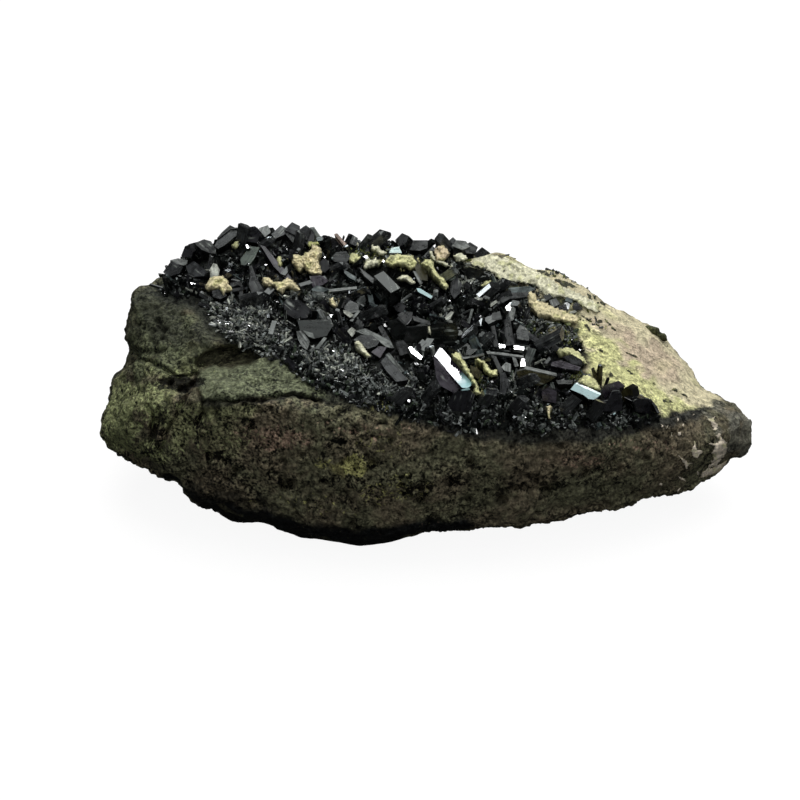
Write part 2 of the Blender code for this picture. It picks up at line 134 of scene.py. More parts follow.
# Painted shade: near black put in the crevices, the cracks and under the ledge, where shade falls.
CREVICE_SHADE = (0.014, 0.014, 0.011)
HOLLOW_OLIVE = (0.120, 0.118, 0.066)
DRUSE_SHADE = (0.018, 0.020, 0.017)
# Painted shade: near black on the undercut band along the bottom, which faces down to the floor.
UNDERSIDE_SHADE = (0.005, 0.006, 0.007)
TIP_GREY = (0.165, 0.165, 0.135)

# Outlines in the picture of what shows on the front.
LEDGE = (
    (197, 368), (215, 366), (240, 366), (262, 357), (285, 362), (305, 372), (332, 384), (352, 396),
    (340, 402), (318, 399), (287, 394), (265, 397), (240, 400), (215, 402), (203, 398), (197, 382),
)
RIM_BAND = (
    (296, 372), (340, 390), (395, 398), (450, 410), (520, 416), (600, 414), (662, 412), (712, 404),
    (700, 418), (640, 434), (590, 443), (520, 445), (470, 439), (420, 425), (380, 411), (330, 398),
)
LEDGE_SHADOW = (
    (200, 398), (222, 402), (240, 399), (255, 396), (270, 399), (292, 393), (320, 397), (345, 402),
    (345, 406), (320, 402), (292, 399), (270, 404), (255, 401), (240, 404), (222, 408), (200, 406),
)
BED_END = (
    (140, 300), (190, 296), (206, 300), (212, 312), (220, 326), (235, 338), (255, 347), (270, 353),
    (287, 366), (297, 378), (320, 388), (345, 397), (345, 440), (140, 440),
)
DRUSE_EDGE = (
    (150, 288), (206, 288), (216, 300), (228, 322), (250, 340), (275, 350), (300, 372), (345, 392),
    (352, 402), (326, 394), (296, 384), (272, 360), (250, 350), (226, 342), (208, 328), (196, 310),
    (160, 298),
)
UNDERSIDE = (
    (160, 478), (187, 488), (215, 500), (260, 514), (300, 522), (360, 526), (430, 524), (472, 520),
    (480, 560), (150, 560),
)
HOLLOW_SHAPE = (
    (194, 362), (204, 352), (222, 346), (245, 346), (264, 350), (262, 357), (240, 366), (198, 367),
)

COATS = (
    Coat(MOSS, 0.9, 4.0, (
        Blotch((116, 418), (26, 38)), Blotch((152, 404), (32, 28), 0.9), Blotch((160, 368), (34, 13), 0.9),
        Blotch((150, 450), (26, 12), 0.7), Blotch((182, 425), (12, 24), 0.7),
        Blotch((225, 432), (22, 22), 0.35), Blotch((200, 412), (40, 10), 0.5),
    )),
    Coat(LEFT_OLIVE, 0.9, 4.0, (Blotch((150, 336), (60, 34), 0.9), Blotch((190, 350), (50, 20), 0.7))),
    Coat(SLOPE_OLIVE, 0.9, 4.0, (
        Blotch((165, 306), (44, 34), 0.95), Blotch((200, 300), (28, 20), 0.9),
        Blotch((226, 334), (26, 14), 0.7), Blotch((214, 330), (26, 20), 0.9),
    )),
    Coat(DRUSE_SHADE, 5.0, 2.0, (Region(DRUSE_EDGE, 5.0, 0.85),)),
    # The ledge's grey-green with painted light on its upturned face.
    Coat(LEDGE_GREY_AND_LIGHT, 2.5, 2.5, (Region(LEDGE, 2.0), Blotch((300, 386), (44, 13), 0.6))),
    Coat(RED_BROWN, 0.9, 3.0, (Blotch((284, 440), (32, 10), 0.35), Blotch((576, 462), (26, 9), 0.25))),
    Coat(YELLOW_GREEN, 1.1, 1.8, (Blotch((346, 466), (20, 8), 0.3),)),
    # Dark crust and painted shadow under the overhanging rim.
    Coat(RIM_DARK_AND_SHADE, 4.0, 2.5, (Region(RIM_BAND, 4.0, 0.95),)),
    Coat(TIP_GREY, 2.0, 3.0, (Blotch((744, 436), (17, 40), 0.6), Blotch((728, 414), (26, 8), 0.5, 25))),
    # Painted shade on the undercut band along the bottom.
    Coat(UNDERSIDE_SHADE, 4.0, 3.0, (Region(UNDERSIDE, 4.0, 0.97),)),
    # Painted shade in the crevices, in a crack, in the shadow under the ledge and low near the foot.
    Coat(CREVICE_SHADE, 3.0, 3.0, (
        Region(LEDGE_SHADOW, 1.6, 0.85), Blotch((184, 388), (16, 8), 0.3),
        Blotch((154, 428), (4, 20), 0.5, 10), Blotch((206, 500), (36, 10), 0.7),
    )),
    Coat(HOLLOW_OLIVE, 2.0, 2.0, (Region(HOLLOW_SHAPE, 2.0, 0.9),)),
)

# Stains, and how many of their grains there are to the metre.
STAIN_GRAIN = 1250.0
STAIN_GRAIN_STEP = 150.0
STAINS = (
    Stain((0.275, 0.190, 0.135), (
        Blotch((284, 440), (34, 11), 0.6), Blotch((252, 432), (30, 8), 0.45),
        Blotch((576, 462), (30, 9), 0.45), Blotch((350, 430), (70, 9), 0.3),
        Blotch((640, 446), (40, 9), 0.35),
    )),
    Stain((0.30, 0.29, 0.11), (
        Blotch((348, 467), (20, 10), 0.85), Blotch((330, 462), (14, 6), 0.5),
        Blotch((395, 490), (34, 14), 0.38), Blotch((388, 404), (16, 7), 0.5),
        Blotch((330, 505), (70, 10), 0.25), Blotch((382, 444), (30, 14), 0.25),
    )),
    Stain((0.26, 0.29, 0.135), (
        Blotch((112, 418), (30, 40), 0.6), Blotch((150, 404), (30, 24), 0.5),
        Blotch((172, 369), (40, 9), 0.35), Blotch((225, 436), (40, 24), 0.3),
        Blotch((155, 452), (34, 14), 0.4), Blotch((190, 426), (16, 28), 0.35),
        Blotch((385, 402), (22, 5), 0.45),
    )),
)

# The bare tan flank: its colours, the direction of its streaks, its outline and its dark marks.
TAN = (0.66, 0.60, 0.40)
TAN_YELLOW = (0.60, 0.60, 0.29)
TAN_PINK = (0.60, 0.49, 0.36)
STREAK_AXIS = Vector((0.79, -0.10, -0.60)).normalized()
FLANK_DARK = (0.075, 0.078, 0.050)
TAN_EDGE_SOFT = 3.0
TAN_EDGE = (
    (440, 226), (470, 238), (498, 246), (520, 258), (534, 280), (548, 300), (570, 322), (580, 340),
    (588, 356), (582, 370), (600, 384), (630, 400), (660, 414), (693, 405), (722, 399), (780, 380),
    (640, 200),
)
YELLOW_PATCHES = (
    Blotch((620, 376), (48, 18), 1.0, 32), Blotch((602, 358), (22, 20)),
    Blotch((660, 402), (34, 11), 1.0, 15), Blotch((588, 338), (12, 16), 0.8),
    Blotch((520, 270), (20, 8), 0.4), Blotch((560, 300), (12, 8), 0.4),
)
PINK_PATCHES = (Blotch((650, 360), (34, 20), 0.9, 30), Blotch((615, 325), (26, 12), 0.6, 30))
FLANK_MARKS = (
    Blotch((529, 270), (7, 2.2), 0.9, 15), Blotch((543, 272), (9, 3.5), 0.8, 30),
    Blotch((551, 286), (8, 4), 0.6, 40), Blotch((561, 283), (10, 2.2), 0.8, 35),
    Blotch((521, 275), (4, 1.6), 0.7, 40), Blotch((590, 298), (5, 2), 0.7, 60),
    Blotch((603, 303), (4, 2), 0.7, 45), Blotch((600, 321), (3, 2.4), 0.6),
    Blotch((608, 322), (5, 1.6), 0.7, 45), Blotch((614, 329), (4, 1.4), 0.6, 45),
    Blotch((588, 328), (5, 1.6), 0.7, 55), Blotch((580, 304), (9, 2.4), 0.8, 20),
    Blotch((577, 317), (9, 1.5), 0.7, 25), Blotch((558, 303), (13, 7), 0.85, 10),
    Blotch((552, 313), (6, 3), 0.8), Blotch((630, 372), (5, 1.6), 0.8, 35),
    Blotch((611, 374), (3.4, 1.8), 0.8, 60), Blotch((675, 390), (4, 1.8), 0.9, 20),
    Blotch((684, 395), (4, 1.6), 0.8, 30), Blotch((667, 401), (6, 2.4), 0.85, 10),
    Blotch((655, 384), (3, 1.4), 0.7, 30), Blotch((601, 351), (3, 1.4), 0.6, 30),
    Blotch((632, 355), (9, 1.4), 0.5, 25), Blotch((566, 274), (4, 2), 0.6, 30),
    Blotch((530, 268), (5, 1.4), 0.8, 20), Blotch((519, 274), (4, 1.6), 0.8, 45),
    Blotch((542, 277), (6, 2.6), 0.8, 10), Blotch((548, 285), (5, 2.2), 0.7, 40),
    Blotch((569, 284), (11, 2.0), 0.9, 27), Blotch((556, 302), (8, 4.5), 0.9, 10),
    Blotch((552, 312), (5, 2.2), 0.8), Blotch((582, 303), (8, 1.6), 0.8, 18),
    Blotch((584, 317), (9, 1.0), 0.8, 28), Blotch((597, 309), (5, 1.2), 0.7, 50),
    Blotch((478, 268), (6, 2.0), 0.8, 8), Blotch((513, 287), (9, 3.0), 0.6, 8),
)
# Where the coarse crystals grow, and the crest where tiny crystals and a pale crust lie on the flank.
COARSE_OUTLINE = (
    (150, 292), (205, 296), (240, 303), (268, 300), (290, 328), (304, 340), (330, 341), (350, 350),
    (374, 370), (402, 388), (440, 401), (520, 403), (600, 404), (662, 410), (640, 394), (604, 376),
    (590, 352), (570, 322), (540, 298), (520, 286), (480, 264), (452, 238), (440, 200), (140, 200),
)
CREST_BAND = (
    (444, 226), (480, 238), (526, 258), (566, 278), (610, 308), (600, 334), (580, 322), (556, 322),
    (524, 300), (486, 278), (455, 262),
)
CRUST_PATCHES = (
    Blotch((500, 254), (40, 9), 1.0, 18), Blotch((548, 276), (30, 8), 1.0, 22),
    Blotch((545, 304), (22, 10), 1.0, 20), Blotch((462, 244), (22, 7), 0.8, 10),
    Blotch((580, 312), (22, 10), 1.0, 20), Blotch((474, 262), (20, 7), 0.6, 20),
    Blotch((520, 268), (16, 6), 0.9, 20),
)

# Moves of the rock's outline to where the photograph has it.
NUDGES = (
    Nudge((118, 352), 24, (11, 0)), Nudge((122, 320), 14, (2, 0)), Nudge((136, 292), 24, (-10, -5)),
    Nudge((158, 274), 14, (-2, -6)), Nudge((94, 415), 30, (9, 0)), Nudge((265, 526), 40, (0, -5)),
    Nudge((738, 474), 20, (-3, -5)), Nudge((640, 512), 40, (0, -4)), Nudge((715, 488), 26, (-2, -4)),
    Nudge((758, 425), 22, (-5, 0)), Nudge((750, 408), 16, (-2, 6)), Nudge((748, 468), 18, (-6, -3)),
    Nudge((350, 545), 60, (0, 3)), Nudge((172, 494), 30, (0, -10)), Nudge((222, 512), 20, (-3, -4)),
    Nudge((616, 298), 46, (-2, 9)), Nudge((644, 314), 24, (0, 4)), Nudge((702, 380), 24, (-1, 4)),
    Nudge((500, 263), 42, (0, -16)), Nudge((550, 282), 30, (0, -6)), Nudge((700, 492), 40, (0, 2)),
    Nudge((590, 518), 30, (0, -5)), Nudge((735, 470), 20, (-3, -4)), Nudge((122, 328), 12, (5, 0)),
    Nudge((112, 368), 14, (5, 0)), Nudge((150, 478), 26, (0, -6)), Nudge((430, 530), 34, (0, -5)),
)

# Relief of the front, in millimetres. Carving goes away from the eye, the rest along the surface's normal.
HOLLOW_DEPTH = 4.2
HOLLOW_LIP = Blotch((230, 343), (42, 5), 0.8)
LEDGE_LIFT = Blotch((255, 390), (62, 7), 0.5)
CREVICES = (
    Blotch((180, 384), (20, 9), 0.7), Blotch((154, 426), (5, 20), 1.8, 10), Blotch((140, 352), (30, 4), 0.9),
    Blotch((198, 376), (3, 10), 1.2),
)
# Cracks as lines of points, and pits as their middle and size.
FISSURES = (
    ((196, 372), (190, 392), (176, 414), (166, 434), (160, 452)),
    ((199, 392), (204, 410), (196, 424)),
    ((150, 408), (153, 430), (158, 446)),
    ((128, 356), (150, 362), (176, 374), (194, 372)),
    ((205, 402), (240, 401), (268, 398), (290, 395), (320, 401)),
)
FISSURE_WIDTH = 3.4
FISSURE_DEPTH = 1.8
PITS = (
    (170, 382, 3), (181, 388, 4), (192, 384, 3), (283, 488, 5), (291, 485, 4), (210, 457, 5), (373, 463, 5),
    (449, 482, 5), (501, 500, 6), (526, 475, 5), (547, 492, 5), (585, 475, 4), (251, 427, 4), (322, 482, 4),
    (236, 470, 5), (401, 486, 4), (470, 462, 3), (620, 470, 3), (646, 458, 3), (420, 500, 5), (352, 500, 5),
    (302, 455, 3), (260, 412, 3), (330, 430, 3), (390, 440, 3), (560, 446, 3), (515, 488, 4), (536, 480, 4),
    (468, 500, 4), (600, 488, 3), (225, 480, 3), (300, 474, 3),
)
PIT_DEPTH = 1.6
# Where the black pits of painted shade cluster.
PIT_CLUSTERS = (
    Blotch((222, 458), (24, 10), 0.5), Blotch((288, 486), (16, 8), 0.45), Blotch((414, 490), (20, 14), 0.5),
    Blotch((336, 445), (14, 10), 0.5), Blotch((374, 466), (9, 7), 0.8), Blotch((450, 484), (16, 9), 0.5),
    Blotch((525, 484), (40, 16), 0.45), Blotch((250, 424), (14, 7), 0.5), Blotch((180, 384), (24, 11), 0.8),
    Blotch((330, 481), (24, 6), 0.5), Blotch((262, 478), (16, 5), 0.45), Blotch((600, 478), (30, 12), 0.4),
    Blotch((160, 422), (8, 18), 0.5), Blotch((140, 452), (20, 9), 0.4), Blotch((196, 430), (6, 16), 0.45),
)
CRUMBLY = Blotch((300, 455), (170, 66), 0.4)


def faded(value, low, high):
    """Rises smoothly from 0 at low to 1 at high."""
    share = np.clip((value - low) / (high - low), 0.0, 1.0)
    return share * share * (3.0 - 2.0 * share)


def picture_points(places):
    """Where each place in space is seen in the picture."""
    offset = places - np.array(EYE)
    reach = offset @ np.array(SIGHT) / VIEW_DISTANCE
    across = offset @ np.array(RIGHT) / reach / PIXEL
    up = offset @ np.array(PICTURE_UP) / reach / PIXEL
    return np.stack((PICTURE_SIDE / 2 + across, PICTURE_SIDE / 2 - up), axis=1)


def clouds(places, size, seed=0.0):
    """Smooth noise from about -1 to 1, with lumps of the given size."""
    scaled = (places / size + seed * 17.3).tolist()
    return np.array([noise.noise(point) for point in scaled])


def cells(places, size, seed=0.0):
    """How far each place is from the nearest of many scattered points, from 0 to about 1."""
    scaled = (places / size + seed * 11.1).tolist()
    return np.array([noise.voronoi(point)[0][0] for point in scaled])


def warped(places, size, amount, seed):
    """The places moved about by noise, so that patterns on them look less regular."""
    moves = [clouds(places, size, seed + 0.37 * k) for k in range(3)]
    return places + np.stack(moves, axis=1) * amount


def streaked(places):
    """The places squeezed along the flank's slope, so that noise on them runs in streaks."""
    axis = np.array(STREAK_AXIS)
    return places - 0.8 * np.outer(places @ axis, axis)


def edges_of_cells(places, size, seed=0.0):
    """0 on the borders between scattered cells, rising inside them."""
    scaled = (places / size + seed * 7.7).tolist()
    found = [noise.voronoi(point)[0] for point in scaled]
    return np.array([near[1] - near[0] for near in found])


def blotch_mask(blotch, spots, edge=None):
    """1 inside the ellipse, fading to 0 outside, with the edge moved by the noise in edge."""
    turn = math.radians(blotch.turn)
    offset = spots - np.array(blotch.middle)
    along = offset[:, 0] * math.cos(turn) + offset[:, 1] * math.sin(turn)
    across = offset[:, 1] * math.cos(turn) - offset[:, 0] * math.sin(turn)
    far = np.hypot(along / blotch.reach[0], across / blotch.reach[1])
    if edge is not None:
        far = far + edge
    return blotch.strength * (1.0 - faded(far, 0.65, 1.2))


def far_from_line(spots, line):
    """The distance of each picture point from a line of points."""
    best = np.full(len(spots), 1e9)
    for start, end in zip(line, line[1:]):
        start, end = np.array(start, float), np.array(end, float)
        step = end - start
        share = np.clip((spots - start) @ step / (step @ step), 0.0, 1.0)
        best = np.minimum(best, np.hypot(*(spots - start - share[:, None] * step).T))
    return best


def inside(spots, outline):
    """Whether each picture point lies inside an outline."""
    crossed = np.zeros(len(spots), bool)
    for start, end in zip(outline, outline[1:] + outline[:1]):
        if start[1] == end[1]:
            continue
        level = (start[1] > spots[:, 1]) != (end[1] > spots[:, 1])
        share = (spots[:, 1] - start[1]) / (end[1] - start[1])
        crossed ^= level & (spots[:, 0] < start[0] + share * (end[0] - start[0]))
    return crossed


def patch_mask(patch, spots, edge):
    """The share of a patch at each picture point. The noise in edge breaks its outline."""
    if isinstance(patch, Blotch):
        return np.clip(blotch_mask(patch, spots, edge), 0.0, 1.0)
    return patch.strength * inside_softly(spots + edge[:, None], patch.outline, patch.soft)


def inside_softly(spots, outline, width):
    """1 well inside the outline, 0 well outside, changing over the given width of pixels."""
    away = far_from_line(spots, outline + outline[:1])
    signed = np.where(inside(spots, outline), away, -away)
    return faded(signed, -width, width)


def read(mesh, what, count):
    """One property of every vertex, as rows of so many numbers."""
    found = np.empty(len(mesh.vertices) * count)
    mesh.vertices.foreach_get(what, found)
    return found.reshape(-1, count)


def placed(name, data):
    """A new object in the scene."""
    made = bpy.data.objects.new(name, data)
    bpy.context.scene.collection.objects.link(made)
    return made


def evened_copy(name, node, step):
    """A new object with the node's shape in even squares of the given size."""
    made = placed(name, node.data.copy())
    made.data.materials.clear()
    even = made.modifiers.new("even", "REMESH")
    even.mode = "VOXEL"
    even.voxel_size = step
    even.use_smooth_shade = True
    depsgraph = bpy.context.evaluated_depsgraph_get()
    mesh = bpy.data.meshes.new_from_object(made.evaluated_get(depsgraph))
    made.modifiers.clear()
    made.data = mesh
    mesh.name = name
    return made


def add_attribute(mesh, name, kind, values, domain="POINT"):
    """Values for the vertices or faces of a mesh, for its material to read."""
    layer = mesh.attributes.new(name, kind, domain)
    field = {"FLOAT": "value", "FLOAT_VECTOR": "vector", "FLOAT_COLOR": "color"}[kind]
    layer.data.foreach_set(field, np.ascontiguousarray(values, dtype=np.float32).ravel())


def nearest_gap(places, tree, limit):
    """How far each place is from a surface, up to a limit."""
    return np.array([tree.find_nearest(point, limit)[3] or limit for point in map(Vector, places.tolist())])


def tree_of(nodes):
    """One search tree for several fixed pieces."""
    corners, faces = [], []
    for node in nodes:
        start = len(corners)
        corners.extend(corner.co.copy() for corner in node.data.vertices)
        faces.extend([start + k for k in face.vertices] for face in node.data.polygons)
    return BVHTree.FromPolygons(corners, faces)


def sights(places):
    """The direction from the eye to each place."""
    away = places - np.array(EYE)
    return away / np.linalg.norm(away, axis=1)[:, None]


def seen_share(normals, places):
    """1 where the surface faces the eye, 0 where it faces away."""
    return faded(-(normals * sights(places)).sum(axis=1), -0.05, 0.15)


def rock_masks(places, normals, crust):
    """Where on the rock the crystal bed and the tan flank lie."""
    spots = picture_points(places)
    seen = seen_share(normals, places)
    bed = 1.0 - faded(nearest_gap(places, crust, BED_FEEL), BED_REACH, BED_REACH + BED_FADE)
    bed *= 1.0 - inside_softly(spots, BED_END, BED_END_SOFT) * seen
    ragged = clouds(places, 3.0 * MM, 5) * 7.0
    up = faded(normals[:, 2], 0.15, 0.4)
    flank = inside_softly(spots + ragged[:, None], TAN_EDGE, TAN_EDGE_SOFT) * up * (places[:, 0] > 0)
    torn = clouds(places, 11.0 * MM, 7) * 0.012 + clouds(places, 3.0 * MM, 5) * 0.004
    behind = faded(places[:, 0] + torn, 0.004, 0.008) * faded(places[:, 1], 0.004, 0.010)
    behind *= faded(normals[:, 2] + torn * 25.0, 0.25, 0.40)
    flank = np.maximum(flank * seen, behind * (1.0 - seen))
    return spots, seen, bed, flank


def rock_relief(places, bed, flank):
    """How far each point of the rock moves out, in millimetres, and its painted shade in recesses."""
    broken = (1.0 - bed) * (1.0 - flank)
    loose = warped(places, 2.2 * MM, 1.1 * MM, 80)
    slabs = clouds(places, 9.0 * MM, 1) * 0.55 + clouds(places, 4.0 * MM, 2) * 0.45
    chips = (edges_of_cells(loose, 2.8 * MM, 3) - 0.25) * 0.75
    grain = clouds(places, 1.3 * MM, 4) * 0.34 + clouds(loose, 0.8 * MM, 6) * 0.34
    holes = faded(0.40 - cells(loose, 1.9 * MM, 8), 0.0, 0.22)
    holes = holes * faded(clouds(places, 5.0 * MM, 9), -0.05, 0.35)
    left = faded(-places[:, 0], 0.030, 0.045)
    lobes = clouds(places, 6.0 * MM, 12) * 0.9 * left
    worn = 1.0 - 0.5 * faded(places[:, 0], 0.042, 0.056)
    total = broken * worn * (slabs * 0.7 + chips + grain - holes * 0.8 + lobes)
    nodules = clouds(loose, 2.4 * MM, 14) * 0.14 + clouds(streaked(places), 1.0 * MM, 15) * 0.22 - 0.1
    slots = faded(0.26 - cells(loose, 3.4 * MM, 18), 0.0, 0.12)
    slots = slots * faded(clouds(places, 4.0 * MM, 19), 0.1, 0.4)
    total += flank * (nodules - slots * 0.4)
    total += bed * (clouds(places, 1.5 * MM, 16) * 0.25 - 0.1)
    low = faded(-(chips + grain), 0.05, 0.5)
    recess_shade = np.clip(broken * (holes + low * 0.6) + flank * slots, 0.0, 1.0)
    return total, recess_shade


def rock_carving(places, spots, seen, bed, flank):
    """How far each point of the front moves away from the eye, in millimetres."""
    broken = (1.0 - bed) * (1.0 - flank)
    edge = clouds(places, 2.5 * MM, 20) * 0.18
    total = HOLLOW_DEPTH * inside_softly(spots + edge[:, None] * 10.0, HOLLOW_SHAPE, 2.5)
    total -= blotch_mask(HOLLOW_LIP, spots, edge) + blotch_mask(LEDGE_LIFT, spots, edge)
    for crevice in CREVICES:
        total += blotch_mask(crevice, spots, edge)
    for line in FISSURES:
        away = far_from_line(spots + edge[:, None] * 14.0, line)
        total += FISSURE_DEPTH * (1.0 - faded(away, 0.0, FISSURE_WIDTH))
    for across, down, size in PITS:
        total += blotch_mask(Blotch((across, down), (size, size * 0.8), PIT_DEPTH), spots, edge * 2.5)
    return total * seen * broken


def blended(colour, shade, share):
    """The colour of each point moved towards one shade by its share."""
    share = np.clip(share, 0.0, 1.0)[:, None]
    return colour * (1.0 - share) + np.array(shade) * share


def flank_paint(places, spots):
    """The tan crust: yellow-green near the crystals, pinkish higher up, with dark stains."""
    yellow = sum(blotch_mask(patch, spots, clouds(places, 2.0 * MM, 60) * 0.7) for patch in YELLOW_PATCHES)
    pink = sum(blotch_mask(patch, spots, clouds(places, 4.0 * MM, 61) * 0.6) for patch in PINK_PATCHES)
    crust = blended(np.array(TAN) + np.zeros((len(places), 3)), TAN_PINK, pink)
    crust = blended(crust, TAN_YELLOW, yellow + faded(clouds(places, 5.0 * MM, 64), 0.2, 0.6) * 0.4)
    stain = faded(clouds(streaked(places), 1.0 * MM, 62) + clouds(places, 5.0 * MM, 63) * 0.4, 0.1, 0.7)
    pale = faded(clouds(streaked(places), 0.9 * MM, 65), 0.1, 0.5)
    crust = crust * (1.0 - 0.24 * stain + 0.24 * pale)[:, None]
    return crust


def rock_paint(places, spots, seen, bed, flank, recess_shade):
    """The rock's colour at each point, with painted shade in its recesses."""
    patchy = clouds(places, 8.0 * MM, 30)
    fine = clouds(places, 1.3 * MM, 31)
    colour = np.array(BROWN) + np.zeros((len(places), 3))
    colour = blended(colour, OLIVE, faded(patchy + fine * 0.5, -0.5, 0.5))
    colour = blended(colour, BACK_OLIVE, 1.0 - seen)
    for number, coat in enumerate(COATS):
        edge = clouds(places, coat.grain * MM, 40 + number) * coat.ragged
        for patch in coat.patches:
            colour = blended(colour, coat.colour, patch_mask(patch, spots, edge) * seen)
    crust = flank_paint(places, spots)
    colour = colour * (1.0 - flank[:, None]) + crust * flank[:, None]
    # Near black on the bed: dark crust and painted shade between the crystals.
    colour = blended(colour, BED_BLACK_AND_SHADE, bed - flank)
    edge = clouds(places, 1.6 * MM, 70) * 0.9
    for patch in CRUST_PATCHES:
        share = (np.clip(blotch_mask(patch, spots, edge), 0.0, 1.0) * seen)[:, None]
        colour = colour * (1.0 - share) + crust * share
    rough = sum(blotch_mask(patch, spots, edge * 0.8) for patch in YELLOW_PATCHES)
    contrast = 1.0 - (0.72 - 0.34 * np.clip(rough, 0.0, 1.0)) * np.clip(flank, 0.0, 1.0)
    contrast *= 1.0 + blotch_mask(CRUMBLY, spots) * seen
    # Painted shade: the colour darkened where the rock is hollow or carved.
    return np.column_stack((colour * (1.0 - 0.78 * recess_shade[:, None]), contrast))


def dense_share(patches, places, spots):
    """How dense something that is scattered over patches is at each point."""
    edge = clouds(places, 3.0 * MM, 75) * 0.9
    return np.max([blotch_mask(patch, spots, edge) for patch in patches], axis=0)


def stain_masks(places, spots, seen):
    """How dense the grains of each stain are at each point."""
    return np.stack([dense_share(stain.patches, places, spots) * seen for stain in STAINS], axis=1)


def add(tree, kind, inputs=None, **settings):
    """A new shader node. An input is a number, a colour or another node's output."""
    made = tree.nodes.new(kind)
    for name, value in settings.items():
        setattr(made, name, value)
    for name, value in (inputs or {}).items():
        if isinstance(value, bpy.types.NodeSocket):
            tree.links.new(value, made.inputs[name])
        else:
            made.inputs[name].default_value = value
    return made


def new_material(name):
    """A new material with its nodes and its surface shader."""
    made = bpy.data.materials.new(name)
    made.use_nodes = True
    return made, made.node_tree, made.node_tree.nodes["Principled BSDF"]


def attribute(tree, name):
    return add(tree, "ShaderNodeAttribute", attribute_name=name, attribute_type="GEOMETRY")


def noise_at(tree, place, scale, detail=3.0, rough=0.6):
    """Noise from 0 to 1, with so many lumps to the metre."""
    inputs = {"Vector": place, "Scale": scale, "Detail": detail, "Roughness": rough}
    return add(tree, "ShaderNodeTexNoise", inputs).outputs["Fac"]


def ranged(tree, value, low, high, to_low, to_high):
    """A shader value carried from one range to another, and held at its ends."""
    inputs = {"Value": value, "From Min": low, "From Max": high, "To Min": to_low, "To Max": to_high}
    return add(tree, "ShaderNodeMapRange", inputs).outputs["Result"]


def multiplied(tree, colour, factor):
    """The colour times a grey factor."""
    node = add(tree, "ShaderNodeVectorMath", {0: colour}, operation="SCALE")
    tree.links.new(factor, node.inputs["Scale"])
    return node.outputs["Vector"]


def bumped(tree, height, distance, strength=1.0, under=None):
    """A surface normal with fine relief, on top of other relief if any is given."""
    inputs = {"Height": height, "Distance": distance, "Strength": strength}
    if under is not None:
        inputs["Normal"] = under
    return add(tree, "ShaderNodeBump", inputs).outputs["Normal"]


def calculated(tree, operation, *values):
    """One step of arithmetic on shader values."""
    return add(tree, "ShaderNodeMath", dict(enumerate(values)), operation=operation).outputs[0]


# The places of a colour mix's two colours among its inputs, and of its colour among its outputs.
MIX_FROM = 6
MIX_TO = 7
MIX_RESULT = 2


def product(tree, first, second):
    return calculated(tree, "MULTIPLY", first, second)


def total(tree, first, second):
    return calculated(tree, "ADD", first, second)


def turned_into(tree, colour, other, share):
    """The colour turned into another one by a share."""
    node = add(tree, "ShaderNodeMix", {"Factor": share}, data_type="RGBA")
    tree.links.new(colour, node.inputs[MIX_FROM])
    node.inputs[MIX_TO].default_value = (*other, 1.0)
    return node.outputs[MIX_RESULT]


def stained(tree, place, colour):
    """The colour with grains of the stains, as dense as their masks are strong."""
    masks = add(tree, "ShaderNodeSeparateXYZ", {"Vector": attribute(tree, "stains").outputs["Vector"]})
    for number, stain in enumerate(STAINS):
        grain = noise_at(tree, place, STAIN_GRAIN + STAIN_GRAIN_STEP * number, 3.0, 0.7)
        dense = total(tree, masks.outputs[number], ranged(tree, grain, 0.3, 0.7, 0.0, 1.0))
        colour = turned_into(tree, colour, stain.colour, ranged(tree, dense, 0.95, 1.15, 0.0, 0.9))
    return colour


# How much darker the pits are, as painted shade in them, the darkest that a grain gets, and how dull the
# stone is.
PIT_DARKNESS = 0.86
LEAST_SHADE = 0.05
ROCK_ROUGHNESS = 0.8
ROCK_SHINE = 0.25


